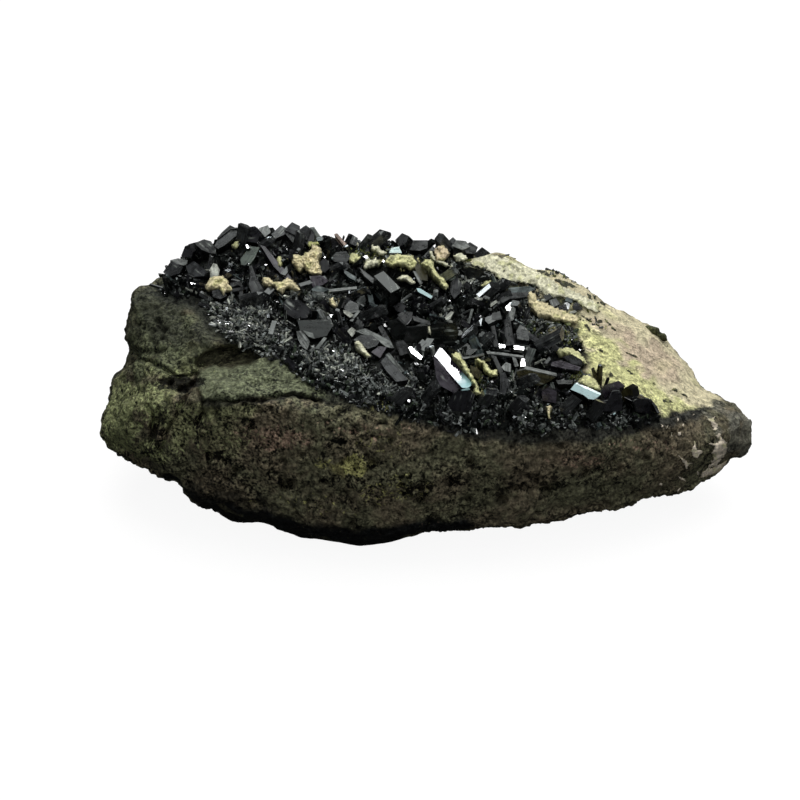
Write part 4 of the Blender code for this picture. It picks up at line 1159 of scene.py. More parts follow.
FACETS = {
    "black_centre": (
        Facet(((430, 326), (438, 322), (456, 323), (459, 332), (455, 345), (436, 346), (430, 338)),
              BLACK, 2.6, 3.4, "low"),
    ),
    "black_slope": (
        Facet(((297, 320), (330, 319), (333, 326), (327, 336), (314, 339), (300, 331)), BLACK, 2.8),
    ),
    "black_upright": (
        Facet((
            (592, 372), (595, 370), (598, 377), (600, 367), (603, 366), (602, 386), (597, 386), (594, 380),
        ), OLIVE_BROWN, 1.2, 3.4, "front"),
    ),
    "corner_block": (
        Facet(((170, 260), (178, 258), (188, 260), (187, 264), (184, 266), (176, 264)),
              SILVER, 3.4, 2.8, "top", (-3, 5)),
    ),
    "crest_bright": (
        Facet(((334, 234), (337, 233), (347, 244), (344, 246)), PINKISH, 0.8, 2.8),
    ),
    "crest_dark": (
        Facet(((408, 243), (413, 240), (428, 240), (428, 248), (420, 251), (409, 250)), GREY, 2.6, 3.0),
    ),
    "crest_green": (
        Facet(((240, 259), (250, 246), (260, 247), (255, 258), (249, 266), (241, 265)), LEAF, 1.4, 3.0),
    ),
    "disc_dark": (
        Facet(((343, 307), (350, 300), (359, 304), (359, 312), (347, 314)), GREY, 2.2, 2.8, "top", (0, 2)),
    ),
    "druse": (
        Facet(((186, 266), (194, 261), (208, 272), (204, 276), (193, 277), (188, 273)),
              SLATE, 2.4, 2.6, "top_left"),
        Facet(((181, 256), (185, 246), (191, 244), (194, 250), (191, 258)), INK, 2.4, 2.6, "top_left"),
        Facet(((163, 272), (171, 261), (183, 267), (180, 273), (168, 277)), SMOKE, 2.2, 2.2, "top_left"),
        Facet(((282, 230), (287, 229), (303, 246), (299, 249), (294, 244)), GREY, 1.0, 2.8),
        Facet(((290, 229), (295, 227), (308, 243), (304, 246)), SLATE, 1.2),
        Facet(((230, 283), (239, 281), (247, 287), (245, 289), (238, 285), (231, 287)), GREY, 0.8, 2.4),
        Facet(((231, 289), (246, 286), (247, 289), (233, 292)), SMOKE, 0.8, 2.2),
        Facet(((268, 239), (283, 232), (284, 234), (270, 241)), MILK, 0.6, 3.2),
        Facet(((212, 291), (218, 289), (225, 292), (227, 296), (220, 299), (213, 297)), SLATE, 2.0, 2.2),
        Facet(((331, 258), (336, 252), (346, 251), (351, 257), (347, 262), (335, 262)), SMOKE, 3.0, 2.8),
        Facet(((340, 263), (347, 262), (350, 266), (346, 271), (340, 269)), GREY, 1.4),
        Facet(((372, 279), (378, 280), (377, 284), (373, 284)), SILVER, 0.8, 3.2),
        Facet(((369, 302), (384, 307), (383, 310), (369, 305)), TEAL_GREY, 0.8, 2.8),
        Facet(((343, 310), (348, 311), (354, 315), (350, 318), (344, 313)), MILK, 0.6, 3.4),
        Facet(((352, 317), (358, 310), (360, 312), (354, 319)), SILVER, 0.6, 3.2),
        Facet(((283, 303), (287, 299), (300, 300), (311, 309), (309, 318), (295, 319), (285, 313)), INK, 3.0),
        Facet(((302, 330), (313, 333), (315, 339), (309, 337)), ASH, 0.7, 2.4),
        Facet(((314, 349), (324, 337), (327, 338), (319, 349)), ASH, 0.9),
        Facet(((378, 327), (382, 325), (391, 341), (386, 343)), GREY, 0.9, 3.4),
        Facet(((371, 352), (379, 346), (387, 347), (380, 358)), PURPLE_GREY, 1.4, 2.8),
        Facet(((347, 331), (352, 327), (357, 331), (352, 337)), MILK, 0.7, 3.0),
        Facet(((395, 342), (403, 340), (410, 347), (409, 353), (400, 356)), SMOKE, 2.2, 2.8),
        Facet(((450, 397), (457, 391), (470, 390), (475, 395), (470, 412), (453, 415), (448, 405)),
              INK, 2.4, 2.8, "low"),
        Facet(((413, 271), (416, 271), (423, 283), (420, 285)), SILVER, 0.8, 3.2),
        Facet(((414, 267), (418, 263), (427, 271), (428, 281), (421, 280)), OLIVE_BROWN, 1.8, 3.0),
        Facet(((389, 253), (391, 248), (399, 246.5), (402, 253)), MILK, 1.0, 3.6, "teal"),
        Facet(((332, 237), (340, 240), (346, 247), (338, 251), (332, 249)), INK, 2.0, 2.4),
        Facet(((372, 243), (377, 233), (383, 235), (386, 243), (379, 246)), SLATE, 1.8, 2.4),
        Facet(((395, 240), (402, 233), (409, 236), (406, 243), (399, 247)), SMOKE, 1.8, 2.6, "top_left"),
        Facet(((349, 243), (353, 235), (358, 238), (356, 246)), SLATE, 1.4),
        Facet(((444, 275), (448, 269), (455, 270), (456, 279), (449, 281)), LEAF, 1.8, 3.0),
        Facet(((461, 270), (470, 267), (484, 271), (480, 278), (468, 279)), BLACK, 2.0, 3.0, "low"),
        Facet(((481, 288), (494, 288), (493, 294), (488, 299), (483, 295)), LEAF, 1.8, 3.4, "low"),
        Facet(((474, 297), (480, 292), (486, 294), (484, 300), (476, 301)), MILK, 0.9, 3.4),
        Facet(((496, 284), (502, 281), (508, 282), (508, 289), (500, 290)), BLACK, 1.6, 3.0, "low"),
        Facet(((499, 299), (509, 293), (529, 292), (527, 297), (510, 299), (502, 303)), GREY, 1.0, 3.0),
        Facet(((508, 288), (530, 286), (536, 289), (530, 292), (510, 293)), TEAL_GREY, 1.0),
        Facet(((489, 304), (496, 300), (498, 302), (491, 307)), MILK, 0.8, 3.2),
        Facet(((492, 313), (500, 311), (502, 319), (492, 321)), GREY, 1.4, 3.0),
        Facet(((445, 317), (451, 311), (454, 312), (450, 319), (446, 321)), MILK, 0.7, 3.6),
        Facet(((438, 321), (444, 320), (443, 325), (439, 325)), MILK, 0.7, 3.8, "teal"),
        Facet(((451, 282), (457, 277), (462, 284), (460, 293), (454, 299), (450, 292)), SLATE, 1.8, 3.4),
        Facet(((499, 344), (505, 344.5), (505, 348), (499, 347.5)), MILK, 0.7, 4.0, "white"),
        Facet(((514, 345), (524, 347), (524, 350.5), (514, 349)), MILK, 0.7, 4.0, "white"),
        Facet(((491, 355), (496, 356), (503, 371), (504, 385), (499, 372)), GREY, 1.0, 3.4),
        Facet(((501, 367), (506, 362), (511, 364), (511, 372), (505, 371)), SILVER, 1.2, 3.6),
        Facet(((500, 374), (505, 372), (509, 382), (505, 396), (500, 393)), SLATE, 1.0, 3.0),
        Facet(((470, 365), (477, 368), (482, 372), (478, 379), (472, 375)), OLIVE_BROWN, 1.2, 3.2),
        Facet(((520, 357), (524, 358), (525.5, 366), (520.5, 366.5)), MILK, 0.7, 4.0, "white"),
        Facet(((512, 357), (515, 356), (519, 366), (515, 367)), SILVER, 0.6, 3.8),
        Facet(((528, 333), (532, 334), (550, 347), (547, 350), (530, 339)), SLATE, 1.4, 3.4),
        Facet(((556, 380), (573, 380), (572, 384), (558, 384)), GREY, 1.2, 3.0),
        Facet(((541, 391), (549, 387), (557, 392), (556, 403), (543, 401)), PURPLE_GREY, 2.0, 2.6, "low"),
        Facet(((635, 397), (641, 394), (645, 397), (640, 401)), SILVER, 1.0),
        Facet(((238, 240), (243, 228), (255, 226), (261, 232), (257, 243)), INK, 2.4, 2.2, "top_left"),
        Facet(((257, 236), (259, 228), (268, 225), (271, 232), (265, 237)), SILVER, 1.2, 2.4),
        Facet(((284, 230), (292, 222), (300, 226), (297, 236)), SLATE, 2.0, 2.2),
        Facet(((300, 238), (300, 229), (306, 225), (311, 229), (307, 240)), INK, 2.0, 2.2),
        Facet(((452, 246), (456, 240), (466, 241), (470, 247), (462, 250)), SILVER, 1.4),
        Facet(((447, 242), (453, 237), (459, 243), (453, 249)), SLATE, 2.0, 2.4),
        Facet(((463, 246), (470, 242), (478, 247), (475, 254), (466, 253)), GREY, 1.6, 2.4),
        Facet(((474, 254), (482, 247), (489, 252), (484, 259), (476, 259)), SMOKE, 1.6, 2.0, "top_left"),
        Facet(((549, 300), (556, 298), (560, 304), (552, 308)), GREY, 0.9, 1.2),
        Facet(((556, 307), (566, 304), (568, 311), (560, 314)), SLATE, 0.8, 1.2),
        Facet(((543, 296), (549, 293), (553, 297), (546, 301)), SMOKE, 0.9, 1.2),
        Facet(((566, 297), (573, 299), (572, 303), (565, 301)), TEAL_GREY, 0.7, 1.2),
        Facet(((572, 306), (580, 306), (583, 309), (575, 311)), INK, 0.7, 1.2),
        # A tiny crystal with a painted white glint.
        Facet(((564, 303), (567, 302), (570, 304), (569, 309), (565, 309)), PAINTED_GLINT, 0.8, 1.4),
        Facet(((573, 304), (577, 302), (580, 305), (575, 307)), SLATE, 0.6, 1.2),
        Facet(((569, 312), (575, 310), (577, 312), (571, 314)), MILK, 0.6, 1.2),
    ),
    "edge_log": (
        Facet(((516, 371), (525, 369), (556, 377), (551, 381), (540, 386), (520, 383)),
              OLIVE_BROWN, 1.6, 3.4, "low"),
        Facet(((523, 365), (557, 373), (557, 376.5), (523, 368.5)), SILVER, 0.8, 3.6),
    ),
    "fan_grey": (
        Facet((
            (249, 266), (252, 265), (256, 276), (264, 290), (268, 293), (252, 293), (248, 286), (250, 276),
        ), GREY, 1.4, 3.0),
    ),
    "glassy": (
        Facet(((210, 268), (213, 263), (217, 264), (220, 270), (219, 278), (210, 278)), MILK, 1.2, 2.8),
    ),
    "grey_bar": (
        Facet(((411, 315), (430, 321), (431, 326), (414, 321)), GREY, 1.0, 3.0),
    ),
    "grey_left": (
        Facet(((359, 267), (362, 269), (376, 280), (373, 284), (364, 276)), GREY, 1.0, 3.0),
    ),
    "hero_teal": (
        Facet((
            (570, 389.5), (575, 383), (583, 387), (596, 393), (601, 394.5), (595, 400), (588, 399),
            (583, 395),
        ), INK, 2.0, 4.0, "teal", (0, 2)),
        # A thin edge that catches the teal lamp, its white partly a painted highlight.
        Facet(((574, 384), (577, 382), (601, 393), (601, 395), (596, 394), (583, 388)),
              PAINTED_GLINT, 0.3, 4.1, "teal"),
        Facet(((601, 391), (605, 385), (611, 383), (618, 389), (614, 398), (606, 401)),
              PURPLE_GREY, 2.6, 3.2, "left"),
    ),
    "hero_white": (
        Facet(((434, 356), (439.5, 347.5), (442, 348), (472.5, 383), (471, 386), (468, 388), (462, 388)),
              PURPLE_BLACK, 1.2, 4.2, "white", (4, -2)),
        Facet((
            (433, 356), (436, 357), (463, 388), (471, 388), (469, 392), (455, 394), (440, 386), (436, 378),
        ), PURPLE_DARK, 1.8, 3.4, "top", (0, -2)),
    ),
    "long_lath": (
        Facet(((260, 245), (265, 246), (279, 263), (293, 279), (287, 281), (274, 267)),
              PURPLE_GREY, 1.2, 3.2),
    ),
    "long_needle": (
        Facet(((486, 351), (500, 352), (524, 355.5), (524, 358), (500, 355), (487, 354)), SILVER, 0.6, 4.2),
    ),
    "lower_slab": (
        Facet(((380, 362), (386, 356), (400, 371), (409, 380), (396, 382), (387, 372)), SLATE, 2.0, 2.8),
        Facet(((385, 355), (389, 352), (405, 371), (401, 373)), ASH, 1.2, 2.9),
    ),
    "needle_left": (
        Facet(((328, 289), (357, 286), (357, 289), (329, 292)), SILVER, 0.7, 3.2),
    ),
    "peak_left": (
        Facet(((271, 234), (281, 225), (289, 229), (284, 235), (275, 239)), SLATE, 2.4, 2.8),
    ),
    "peak_mid": (
        Facet(((303, 240), (309, 228), (315, 232), (314, 243), (308, 246)), SLATE, 1.4, 2.8, "top_right"),
    ),
    "pin_left": (
        Facet(((239, 291), (243, 290), (245, 305), (240, 305)), GREY, 0.9, 2.4),
    ),
    "right_block": (
        Facet(((516, 331), (520, 324), (525, 327), (531, 333), (529, 341), (517, 339)), GREY, 2.0, 3.6),
    ),
    "right_log": (
        Facet(((550, 362), (561, 360), (581, 367), (579, 371), (560, 368), (551, 366)),
              PURPLE_GREY, 1.8, 3.4),
        Facet(((562, 357), (572, 354), (582, 360), (583, 366), (572, 364)), SMOKE, 1.6, 3.0),
    ),
    "rim_end": (
        Facet(((634, 402), (641, 399), (648, 398), (655, 404), (659, 413), (648, 414), (636, 412)),
              INK, 2.6, 3.0, "right"),
        Facet(((648, 398), (651, 399), (657, 406), (660, 413), (657, 413), (653, 405)), GREY, 1.0, 3.1),
    ),
    "rim_post": (
        Facet(((612, 391), (620, 390), (623, 402), (622, 411), (600, 412), (598, 402), (608, 400)),
              INK, 2.4, 3.0, "low"),
        Facet(((621, 391), (626, 387), (632, 390), (635, 403), (629, 408), (622, 400)),
              OLIVE_BROWN, 2.4, 3.0, "left"),
    ),
    "short_needle": (
        Facet(((462, 357), (484, 353), (485, 355.5), (462, 359.5)), SILVER, 0.6, 4.2),
    ),
    "shoulder_block": (
        Facet(((194, 243), (204, 239), (211, 241), (216, 249), (216, 254), (209, 253), (202, 250)),
              GREY, 4.2, 3.2, "top", (-2, 4)),
    ),
    "shoulder_log": (
        Facet(((214, 246), (219, 238), (231, 229), (239, 231), (236, 236), (225, 245), (218, 249)),
              SLATE, 2.0, 2.6, "top", (0, 2)),
        Facet(((217, 238), (222, 232), (230, 225), (238, 229), (231, 229), (219, 238)), INK, 2.0, 2.4),
    ),
    "splinter_front": (
        Facet(((296, 331), (302, 330), (310, 341), (308, 351), (302, 347), (298, 340)), SILVER, 0.9, 2.4),
    ),
    "teal_bar": (
        Facet(((416, 288), (420, 288), (433, 296), (431, 299), (418, 292)), TEAL_GREY, 0.9, 3.2, "teal"),
    ),
    "teal_left": (
        Facet(((344, 270), (347, 271), (357, 277), (355, 281), (348, 277), (344, 273)), TEAL_GREY, 1.0, 2.8),
    ),
    "teal_pin": (
        Facet(((367, 293), (372, 292), (375, 304), (369, 304)), TEAL_GREY, 1.0, 3.0),
    ),
    "under_lump": (
        Facet(((309, 276), (321, 275), (329, 281), (323, 285), (313, 288)), PURPLE_GREY, 1.2, 2.8),
        Facet(((311, 289), (317, 285), (330, 289), (324, 292), (313, 292)), TEAL_GREY, 1.0),
        Facet(((319, 262), (324, 258), (329, 261), (330, 268), (325, 273), (319, 270)), INK, 2.2, 3.0),
    ),
    "upright_left": (
        Facet(((467, 323), (471, 309), (474, 309), (470, 324)), ASH, 0.9, 3.2),
    ),
    "upright_thin": (
        Facet(((491, 326), (495, 325), (499, 347), (494, 347)), GREY, 0.9, 3.8),
    ),
    "upright_wide": (
        Facet(((504, 320), (510, 316), (515, 345), (505, 346)), GREY, 1.4, 3.8),
    ),
    "white_needle": (
        Facet(((408, 347), (411, 346), (424, 358), (422, 361), (411, 353)), MILK, 0.9, 3.2, "white"),
    ),
    "white_top": (
        Facet(((505, 307), (510, 302), (514, 305), (513, 311), (507, 311)), MILK, 1.2, 3.8, "white"),
        Facet(((509, 312), (513, 306), (516, 309), (514, 320), (509, 322)), SILVER, 1.2, 3.4, "top_right"),
    ),
    "wide_slab": (
        Facet(((353, 340), (360, 335), (372, 335), (380, 341), (377, 346), (368, 349), (361, 344)),
              SLATE, 2.0, 3.2),
        Facet((
            (354, 331), (365, 328), (378, 334), (391, 341), (395, 349), (386, 347), (377, 340), (365, 335),
        ), ASH, 1.6, 3.0),
        Facet(((393, 306), (400, 302), (407, 306), (402, 313), (396, 311)), SMOKE, 3.6, 4.0),
        Facet(((397, 314), (404, 311), (413, 312), (412, 319), (406, 326), (401, 320)), GREY, 3.6, 3.8),
        Facet(((387, 322), (397, 318), (407, 327), (428, 325), (429, 340), (410, 344), (393, 341)),
              BLACK, 3.0, 3.2, "low"),
    ),
}


# How far a crystal narrows towards its root, and how deep the root goes below the rock's surface.
ROOT_TAPER = 0.35
ROOT_DEPTH = 1.2 * MM
ROOT_LEAST = 0.1 * MM


def root_corner(corner, centre, rock_tree):
    """Where the root of a crystal below this corner ends, inside the rock and hidden from the eye."""
    inward = corner + (centre - corner) * ROOT_TAPER
    ray = (inward - EYE).normalized()
    hit, _, _, reach = rock_tree.ray_cast(EYE, ray)
    if hit is None:
        nearest = rock_tree.find_nearest(inward)[0]
        return nearest + (nearest - inward).normalized() * (ROOT_DEPTH / 2)
    return EYE + ray * max((inward - EYE).length + ROOT_LEAST, reach + ROOT_DEPTH)


EDGE_WIDTH = 0.06 * MM
SHARP_EDGE = math.radians(20)
# Grooves to the millimetre across a crystal and along it.
GROOVES_ACROSS = 4.0
GROOVES_ALONG = 0.3
# How much narrower a crystal's back is than its face, how far a face may be out of true, and how much darker
# its back and walls are painted than its face, as painted shade.
BACK_SHARE = 0.88
FACE_WOBBLE = 0.09
BACK_PAINTED_SHADE = 0.3
WALL_PAINTED_SHADES = (0.08, 0.15, 0.3, 0.5)


def groove_place(place, side, out, axis, shift):
    """Where a place on a crystal lies in the pattern of its grooves."""
    across = place.dot(side) / MM * GROOVES_ACROSS + shift
    away = place.dot(out) / MM * GROOVES_ACROSS
    return across, away, place.dot(axis) / MM * GROOVES_ALONG


def make_facets(name, facets, rock_tree, satin, mirror):
    """The crystals of several facets as one mesh, with grooves along the longest side of each."""
    corners, faces, grooves, tints, finishes, shares, fronts = [], [], [], [], [], [], []
    draw = random.Random(len(facets) + len(name))
    for facet in facets:
        middle = tuple(sum(point[k] for point in facet.outline) / len(facet.outline) for k in (0, 1))
        ray = sight_line(middle)
        depth = seen_depth(middle, rock_tree) - facet.raised * MM
        centre = EYE + ray * (depth / ray.dot(SIGHT))
        out = facing(facet.catches, ray)
        plain = facet.catches in FRONTS
        if plain:
            wobble = Vector([draw.uniform(-FACE_WOBBLE, FACE_WOBBLE) for _ in range(3)])
            out = (out + wobble).normalized()
        level = (centre - EYE).dot(out)
        top = [EYE + way * (level / way.dot(out)) for way in map(sight_line, facet.outline)]
        sides = [end - start for start, end in zip(top, top[1:] + top[:1])]
        winding = sum((start.cross(end) for start, end in zip(sides, sides[1:])), Vector())
        if winding.dot(out) < 0.0:
            top.reverse()
        axis = max(sides, key=lambda side: side.length).normalized()
        lean = (RIGHT * facet.lean[0] - PICTURE_UP * facet.lean[1]) * PIXEL * depth / VIEW_DISTANCE
        deep = out * facet.thickness * MM
        back = [centre + (corner - centre) * BACK_SHARE - deep + lean for corner in top]
        root = [root_corner(corner, centre, rock_tree) for corner in back]
        start, count = len(corners), len(top)
        corners.extend(top + back + root)
        low, high = min(corner.z for corner in top), max(corner.z for corner in top)
        shares.extend([1.0 if plain else (corner.z - low) / (high - low) for corner in top] * 3)
        across = axis.cross(out)
        shift = draw.uniform(0.0, 50.0)
        grooves.extend(groove_place(corner, across, out, axis, shift) for corner in top + back + root)
        walls = [
            [near + k, near + count + k, near + count + (k + 1) % count, near + (k + 1) % count]
            for near in (0, count) for k in range(count)
        ]
        rings = [list(range(count)), list(range(3 * count - 1, 2 * count - 1, -1))] + walls
        faces.extend([start + k for k in ring] for ring in rings)
        # Painted shade: the back and the walls take a darker share of the face's tint.
        bright = [1.0, BACK_PAINTED_SHADE] + [draw.choice(WALL_PAINTED_SHADES) for _ in walls]
        fronts.extend([not plain] + [False] * (len(rings) - 1))
        tints.extend([value * share for value in facet.tint] + [1.0] for share in bright)
        finishes.extend([not plain] + [True] * (len(rings) - 1))
    mesh = bpy.data.meshes.new(name)
    mesh.from_pydata(corners, [], faces)
    add_attribute(mesh, "grooves", "FLOAT_VECTOR", grooves)
    add_attribute(mesh, "tint", "FLOAT_COLOR", tints, "FACE")
    add_attribute(mesh, "share", "FLOAT", shares)
    add_attribute(mesh, "front", "FLOAT", fronts, "FACE")
    mesh.materials.append(satin)
    mesh.materials.append(mirror)
    mesh.polygons.foreach_set("material_index", np.array(finishes, dtype=np.int32))
    made = placed(name, mesh)
    rounded(made)
    return made


def rounded(made):
    """Slightly rounds the sharp edges of a crystal."""
    edge = made.modifiers.new("edges", "BEVEL")
    edge.width = EDGE_WIDTH
    edge.segments = 1
    edge.limit_method = "ANGLE"
    edge.angle_limit = SHARP_EDGE


# How far the foot of a large crystal may be carried down, how deep it then sits in the rock, and how
# much nearer to the rock one end has to be for the crystal to stand on it.
FOOT_REACH = 2.6 * MM
FOOT_DEPTH = 0.4 * MM
BURIED = 0.5 * MM
STANDING_GAP = 0.9 * MM
END_SHARE = 0.2
FACE_SHADES = (0.5, 0.8, 1.0, 1.8, 3.0)
# Crystals that grew into each other have no one foot.
JOINED = ("prism_under_lump", "prism_black_slope", "prism_wide_slab", "prism_hero_teal")


def longest_edge(mesh):
    """The direction of a mesh's longest edge."""
    ends = [[mesh.vertices[k].co for k in edge.vertices] for edge in mesh.edges]
    steps = [far - near for near, far in ends]
    return max(steps, key=lambda step: step.length).normalized()


def sink_underside(mesh, rock_tree):
    """Deepens a crystal that lies high over the rock until its underside is buried."""
    middle = sum((corner.co for corner in mesh.vertices), Vector()) / len(mesh.vertices)
    down = (rock_tree.find_nearest(middle)[0] - middle).normalized()
    for corner in mesh.vertices:
        hit = rock_tree.ray_cast(corner.co, down)[0]
        if (corner.co - middle).dot(down) > 0.0 and hit is not None:
            corner.co = hit + down * BURIED


def reach_down(mesh, axis, rock_tree):
    """Carries the foot of a standing crystal down into the rock. A lying one stays as it is."""
    along = [corner.co.dot(axis) for corner in mesh.vertices]
    low, high = min(along), max(along)
    ends = [[], []]
    for corner, place in zip(mesh.vertices, along):
        if abs(place - (low + high) / 2) > END_SHARE * (high - low):
            ends[place > (low + high) / 2].append(corner)
    gaps = [sum(rock_tree.find_nearest(corner.co)[3] for corner in end) / len(end) for end in ends]
    if abs(gaps[0] - gaps[1]) < STANDING_GAP:
        if min(gaps) > FOOT_REACH:
            sink_underside(mesh, rock_tree)
        return
    foot = gaps[1] < gaps[0]
    way = axis if foot else -axis
    for corner in ends[foot]:
        corner.co += way * min(FOOT_REACH, gaps[foot] + FOOT_DEPTH)


def make_large_crystal(node, finish, rock_tree, number):
    """A large crystal with grooves along it, a tint for each face and slightly rounded edges."""
    mesh = node.data.copy()
    made = placed(node.name + "_crystal", mesh)
    mesh.materials.clear()
    mesh.materials.append(finish)
    axis = longest_edge(mesh)
    if node.name not in JOINED:
        reach_down(mesh, axis, rock_tree)
    side = axis.orthogonal().normalized()
    out = axis.cross(side)
    draw = random.Random(number)
    shift = draw.uniform(0.0, 50.0)
    grooves = [groove_place(corner.co, side, out, axis, shift) for corner in mesh.vertices]
    heights = np.array([corner.co.z for corner in mesh.vertices])
    add_attribute(mesh, "share", "FLOAT", (heights - heights.min()) / np.ptp(heights))
    add_attribute(mesh, "grooves", "FLOAT_VECTOR", grooves)
    tints = []
    for _ in mesh.polygons:
        bright = draw.choice(FACE_SHADES)
        tints.append([value * bright for value in BLACK] + [1.0])
    add_attribute(mesh, "tint", "FLOAT_COLOR", tints, "FACE")
    rounded(made)
    return made


# The feldspar's colours, and that of the mossy knob.
CREAM = (0.94, 0.84, 0.52)
YELLOW_CREAM = (0.86, 0.86, 0.46)
GREEN_CREAM = (0.62, 0.64, 0.26)
PALE_CREAM = (0.92, 0.92, 0.68)
TAN_BLOB = (0.86, 0.73, 0.49)
BAND_CREAM = (0.95, 0.93, 0.68)
VEIN_CREAM = (1.0, 0.88, 0.70)
VEIN_TAN = (0.95, 0.80, 0.56)
MOSS_DARK = (0.060, 0.064, 0.028)


class Crust(NamedTuple):
    """A ragged crust of feldspar, by its outline in the picture. Its height above the rock and how much
    its middle bulges are in millimetres. One that hugs the rock follows all of its relief."""

    outline: tuple
    colour: tuple = CREAM
    height: float = 2.2
    bulge: float = 1.0
    ragged: float = 1.3
    hugs: bool = False


CRUSTS = {
    "druse": (
        Crust(((453, 256), (458, 252), (464, 253), (470, 258), (464, 262), (456, 261)),
              PALE_CREAM, 2.4, 0.5, 1.6),
        Crust(((276, 261), (278, 256), (281, 256), (284, 263), (281, 268), (277, 266)),
              YELLOW_CREAM, 3.0, 0.4, 0.6),
        Crust(((231, 245), (235, 241), (239, 241), (239, 246), (235, 250), (232, 248)),
              YELLOW_CREAM, 3.0, 0.4, 0.6),
        Crust((
            (395, 279), (400, 275), (408, 274), (413, 279), (417, 284), (411, 285), (405, 281), (398, 281),
        ), PALE_CREAM, 3.4, 0.6, 1.0),
        Crust(((480, 286), (485, 281), (491, 280), (497, 285), (494, 288), (482, 288)),
              YELLOW_CREAM, 3.8, 0.6, 0.8),
        Crust(((427, 327), (430, 325), (432, 331), (431, 336), (427, 333)), PALE_CREAM, 4.4, 0.4, 0.3),
        Crust(((328, 298), (333, 297), (337, 303), (336, 309), (330, 305)), CREAM, 2.8, 0.5, 1.0),
        Crust(((576, 382), (584, 374), (592, 376), (600, 385), (602, 392), (593, 390), (584, 386)),
              YELLOW_CREAM, 3.6, 0.5, 1.2),
        Crust(((546, 406), (551, 405), (553, 407), (550, 412), (551, 419), (548, 420)), CREAM, 2.4, 0.3, 0.5),
        Crust(((527, 375), (537, 375), (537, 378), (527, 378)), GREEN_CREAM, 3.8, 0.2, 0.3),
        Crust(((303, 244), (309, 240), (318, 241), (325, 247), (319, 246), (309, 248)),
              GREEN_CREAM, 2.6, 0.5, 1.2),
        Crust((
            (554, 353), (558, 348), (568, 347), (577, 350), (584, 357), (590, 366), (578, 362), (568, 355),
        ), YELLOW_CREAM, 1.6, 0.3, 1.6),
    ),
    "feldspar_arc": (
        Crust((
            (473, 359), (479, 358), (485, 361), (489, 366), (491, 370), (498, 369), (498, 376), (494, 378),
            (487, 375), (483, 371), (482, 365),
        ), YELLOW_CREAM, 4.0, 0.8),
    ),
    "feldspar_beside_hero": (
        Crust((
            (451, 353), (456, 351), (460, 353), (463, 359), (468, 366), (472, 374), (477, 382), (482, 395),
            (477, 396), (473, 393), (474, 387), (470, 380), (464, 372), (458, 364), (452, 358),
        ), YELLOW_CREAM, 3.8, 0.8),
    ),
    "feldspar_chip_front": (
        Crust((
            (354, 343), (356, 340), (360, 341), (364, 346), (368, 352), (372, 356), (367, 359), (363, 355),
            (357, 350),
        ), PALE_CREAM, 3.0, 0.6, 0.7),
    ),
    "feldspar_crest_left": (
        Crust((
            (371, 250), (370, 245), (378, 245), (382, 250), (387, 252), (384, 257), (378, 255), (374, 252),
        ), PALE_CREAM, 3.0, 0.7, 1.6),
        Crust(((349, 255), (354, 252), (360, 255), (359, 261), (353, 265), (349, 262)),
              YELLOW_CREAM, 2.6, 0.7, 2.0),
        Crust(((362, 263), (368, 258), (376, 258), (381, 261), (379, 266), (370, 268), (364, 270)),
              PALE_CREAM, 2.8, 0.7, 2.6),
    ),
    "feldspar_crest_mid": (
        Crust((
            (384, 264), (386, 258), (391, 254), (402, 254), (412, 255), (418, 262), (416, 269), (411, 271),
            (405, 267), (398, 265), (390, 267),
        ), YELLOW_CREAM, 3.2, 1.0, 1.4),
    ),
    "feldspar_crest_right": (
        Crust((
            (420, 264), (425, 259), (431, 259), (434, 262), (434, 267), (438, 272), (441, 276), (446, 280),
            (449, 286), (447, 291), (442, 288), (437, 281), (432, 276), (428, 269),
        ), YELLOW_CREAM, 3.2, 1.0, 1.0),
        Crust((
            (434, 250), (437, 246), (443, 245), (449, 249), (449, 257), (445, 261), (437, 261), (434, 257),
        ), TAN_BLOB, 3.4, 0.8, 2.2),
        Crust((
            (429, 252), (433, 250), (436, 260), (446, 262), (453, 267), (449, 268), (440, 264), (431, 260),
        ), PALE_CREAM, 3.2, 0.6, 1.4),
    ),
    "feldspar_left": (
        Crust((
            (204, 286), (206, 283), (209, 279), (212, 276), (220, 276), (223, 275), (227, 279), (230, 284),
            (233, 290), (228, 292), (224, 296), (219, 290), (211, 289), (207, 290),
        )),
    ),
    "feldspar_main": (
        Crust((
            (291, 261), (293, 254), (297, 254), (301, 256), (305, 252), (311, 249), (312, 243), (317, 245),
            (322, 249), (322, 256), (319, 260), (321, 268), (323, 275), (314, 276), (308, 273), (304, 268),
            (299, 273), (296, 269),
        ), CREAM, 2.8, 1.4),
    ),
    "feldspar_right": (
        Crust((
            (527, 294), (531, 290), (536, 295), (537, 300), (545, 302), (552, 306), (560, 309), (572, 313),
            (582, 318), (576, 325), (566, 322), (556, 320), (547, 317), (538, 315), (532, 309), (528, 303),
        ), CREAM, 1.6, 0.6, 1.6),
    ),
    "feldspar_strip": (
        Crust((
            (261, 284), (263, 277), (269, 277), (274, 281), (281, 281), (288, 277), (293, 280), (298, 285),
            (301, 291), (297, 292), (290, 287), (286, 289), (283, 294), (277, 291), (274, 286), (267, 286),
        ), CREAM, 2.8, 0.8),
    ),
}
CREST_CRUSTS = (
    Crust((
        (470, 265), (474, 256), (482, 250), (490, 253), (500, 256), (508, 258), (520, 263), (533, 268),
        (546, 275), (558, 284), (572, 290), (588, 297), (600, 305), (598, 313), (588, 310), (576, 302),
        (562, 297), (550, 298), (540, 293), (535, 285), (524, 284), (512, 281), (500, 281), (493, 274),
        (484, 269),
    ), BAND_CREAM, 0.7, 0.5, 1.6, True),
)
TAN_FOOT = ((699, 479), (703, 471), (711, 468), (719, 464), (728, 460), (725, 467), (718, 473), (708, 477))
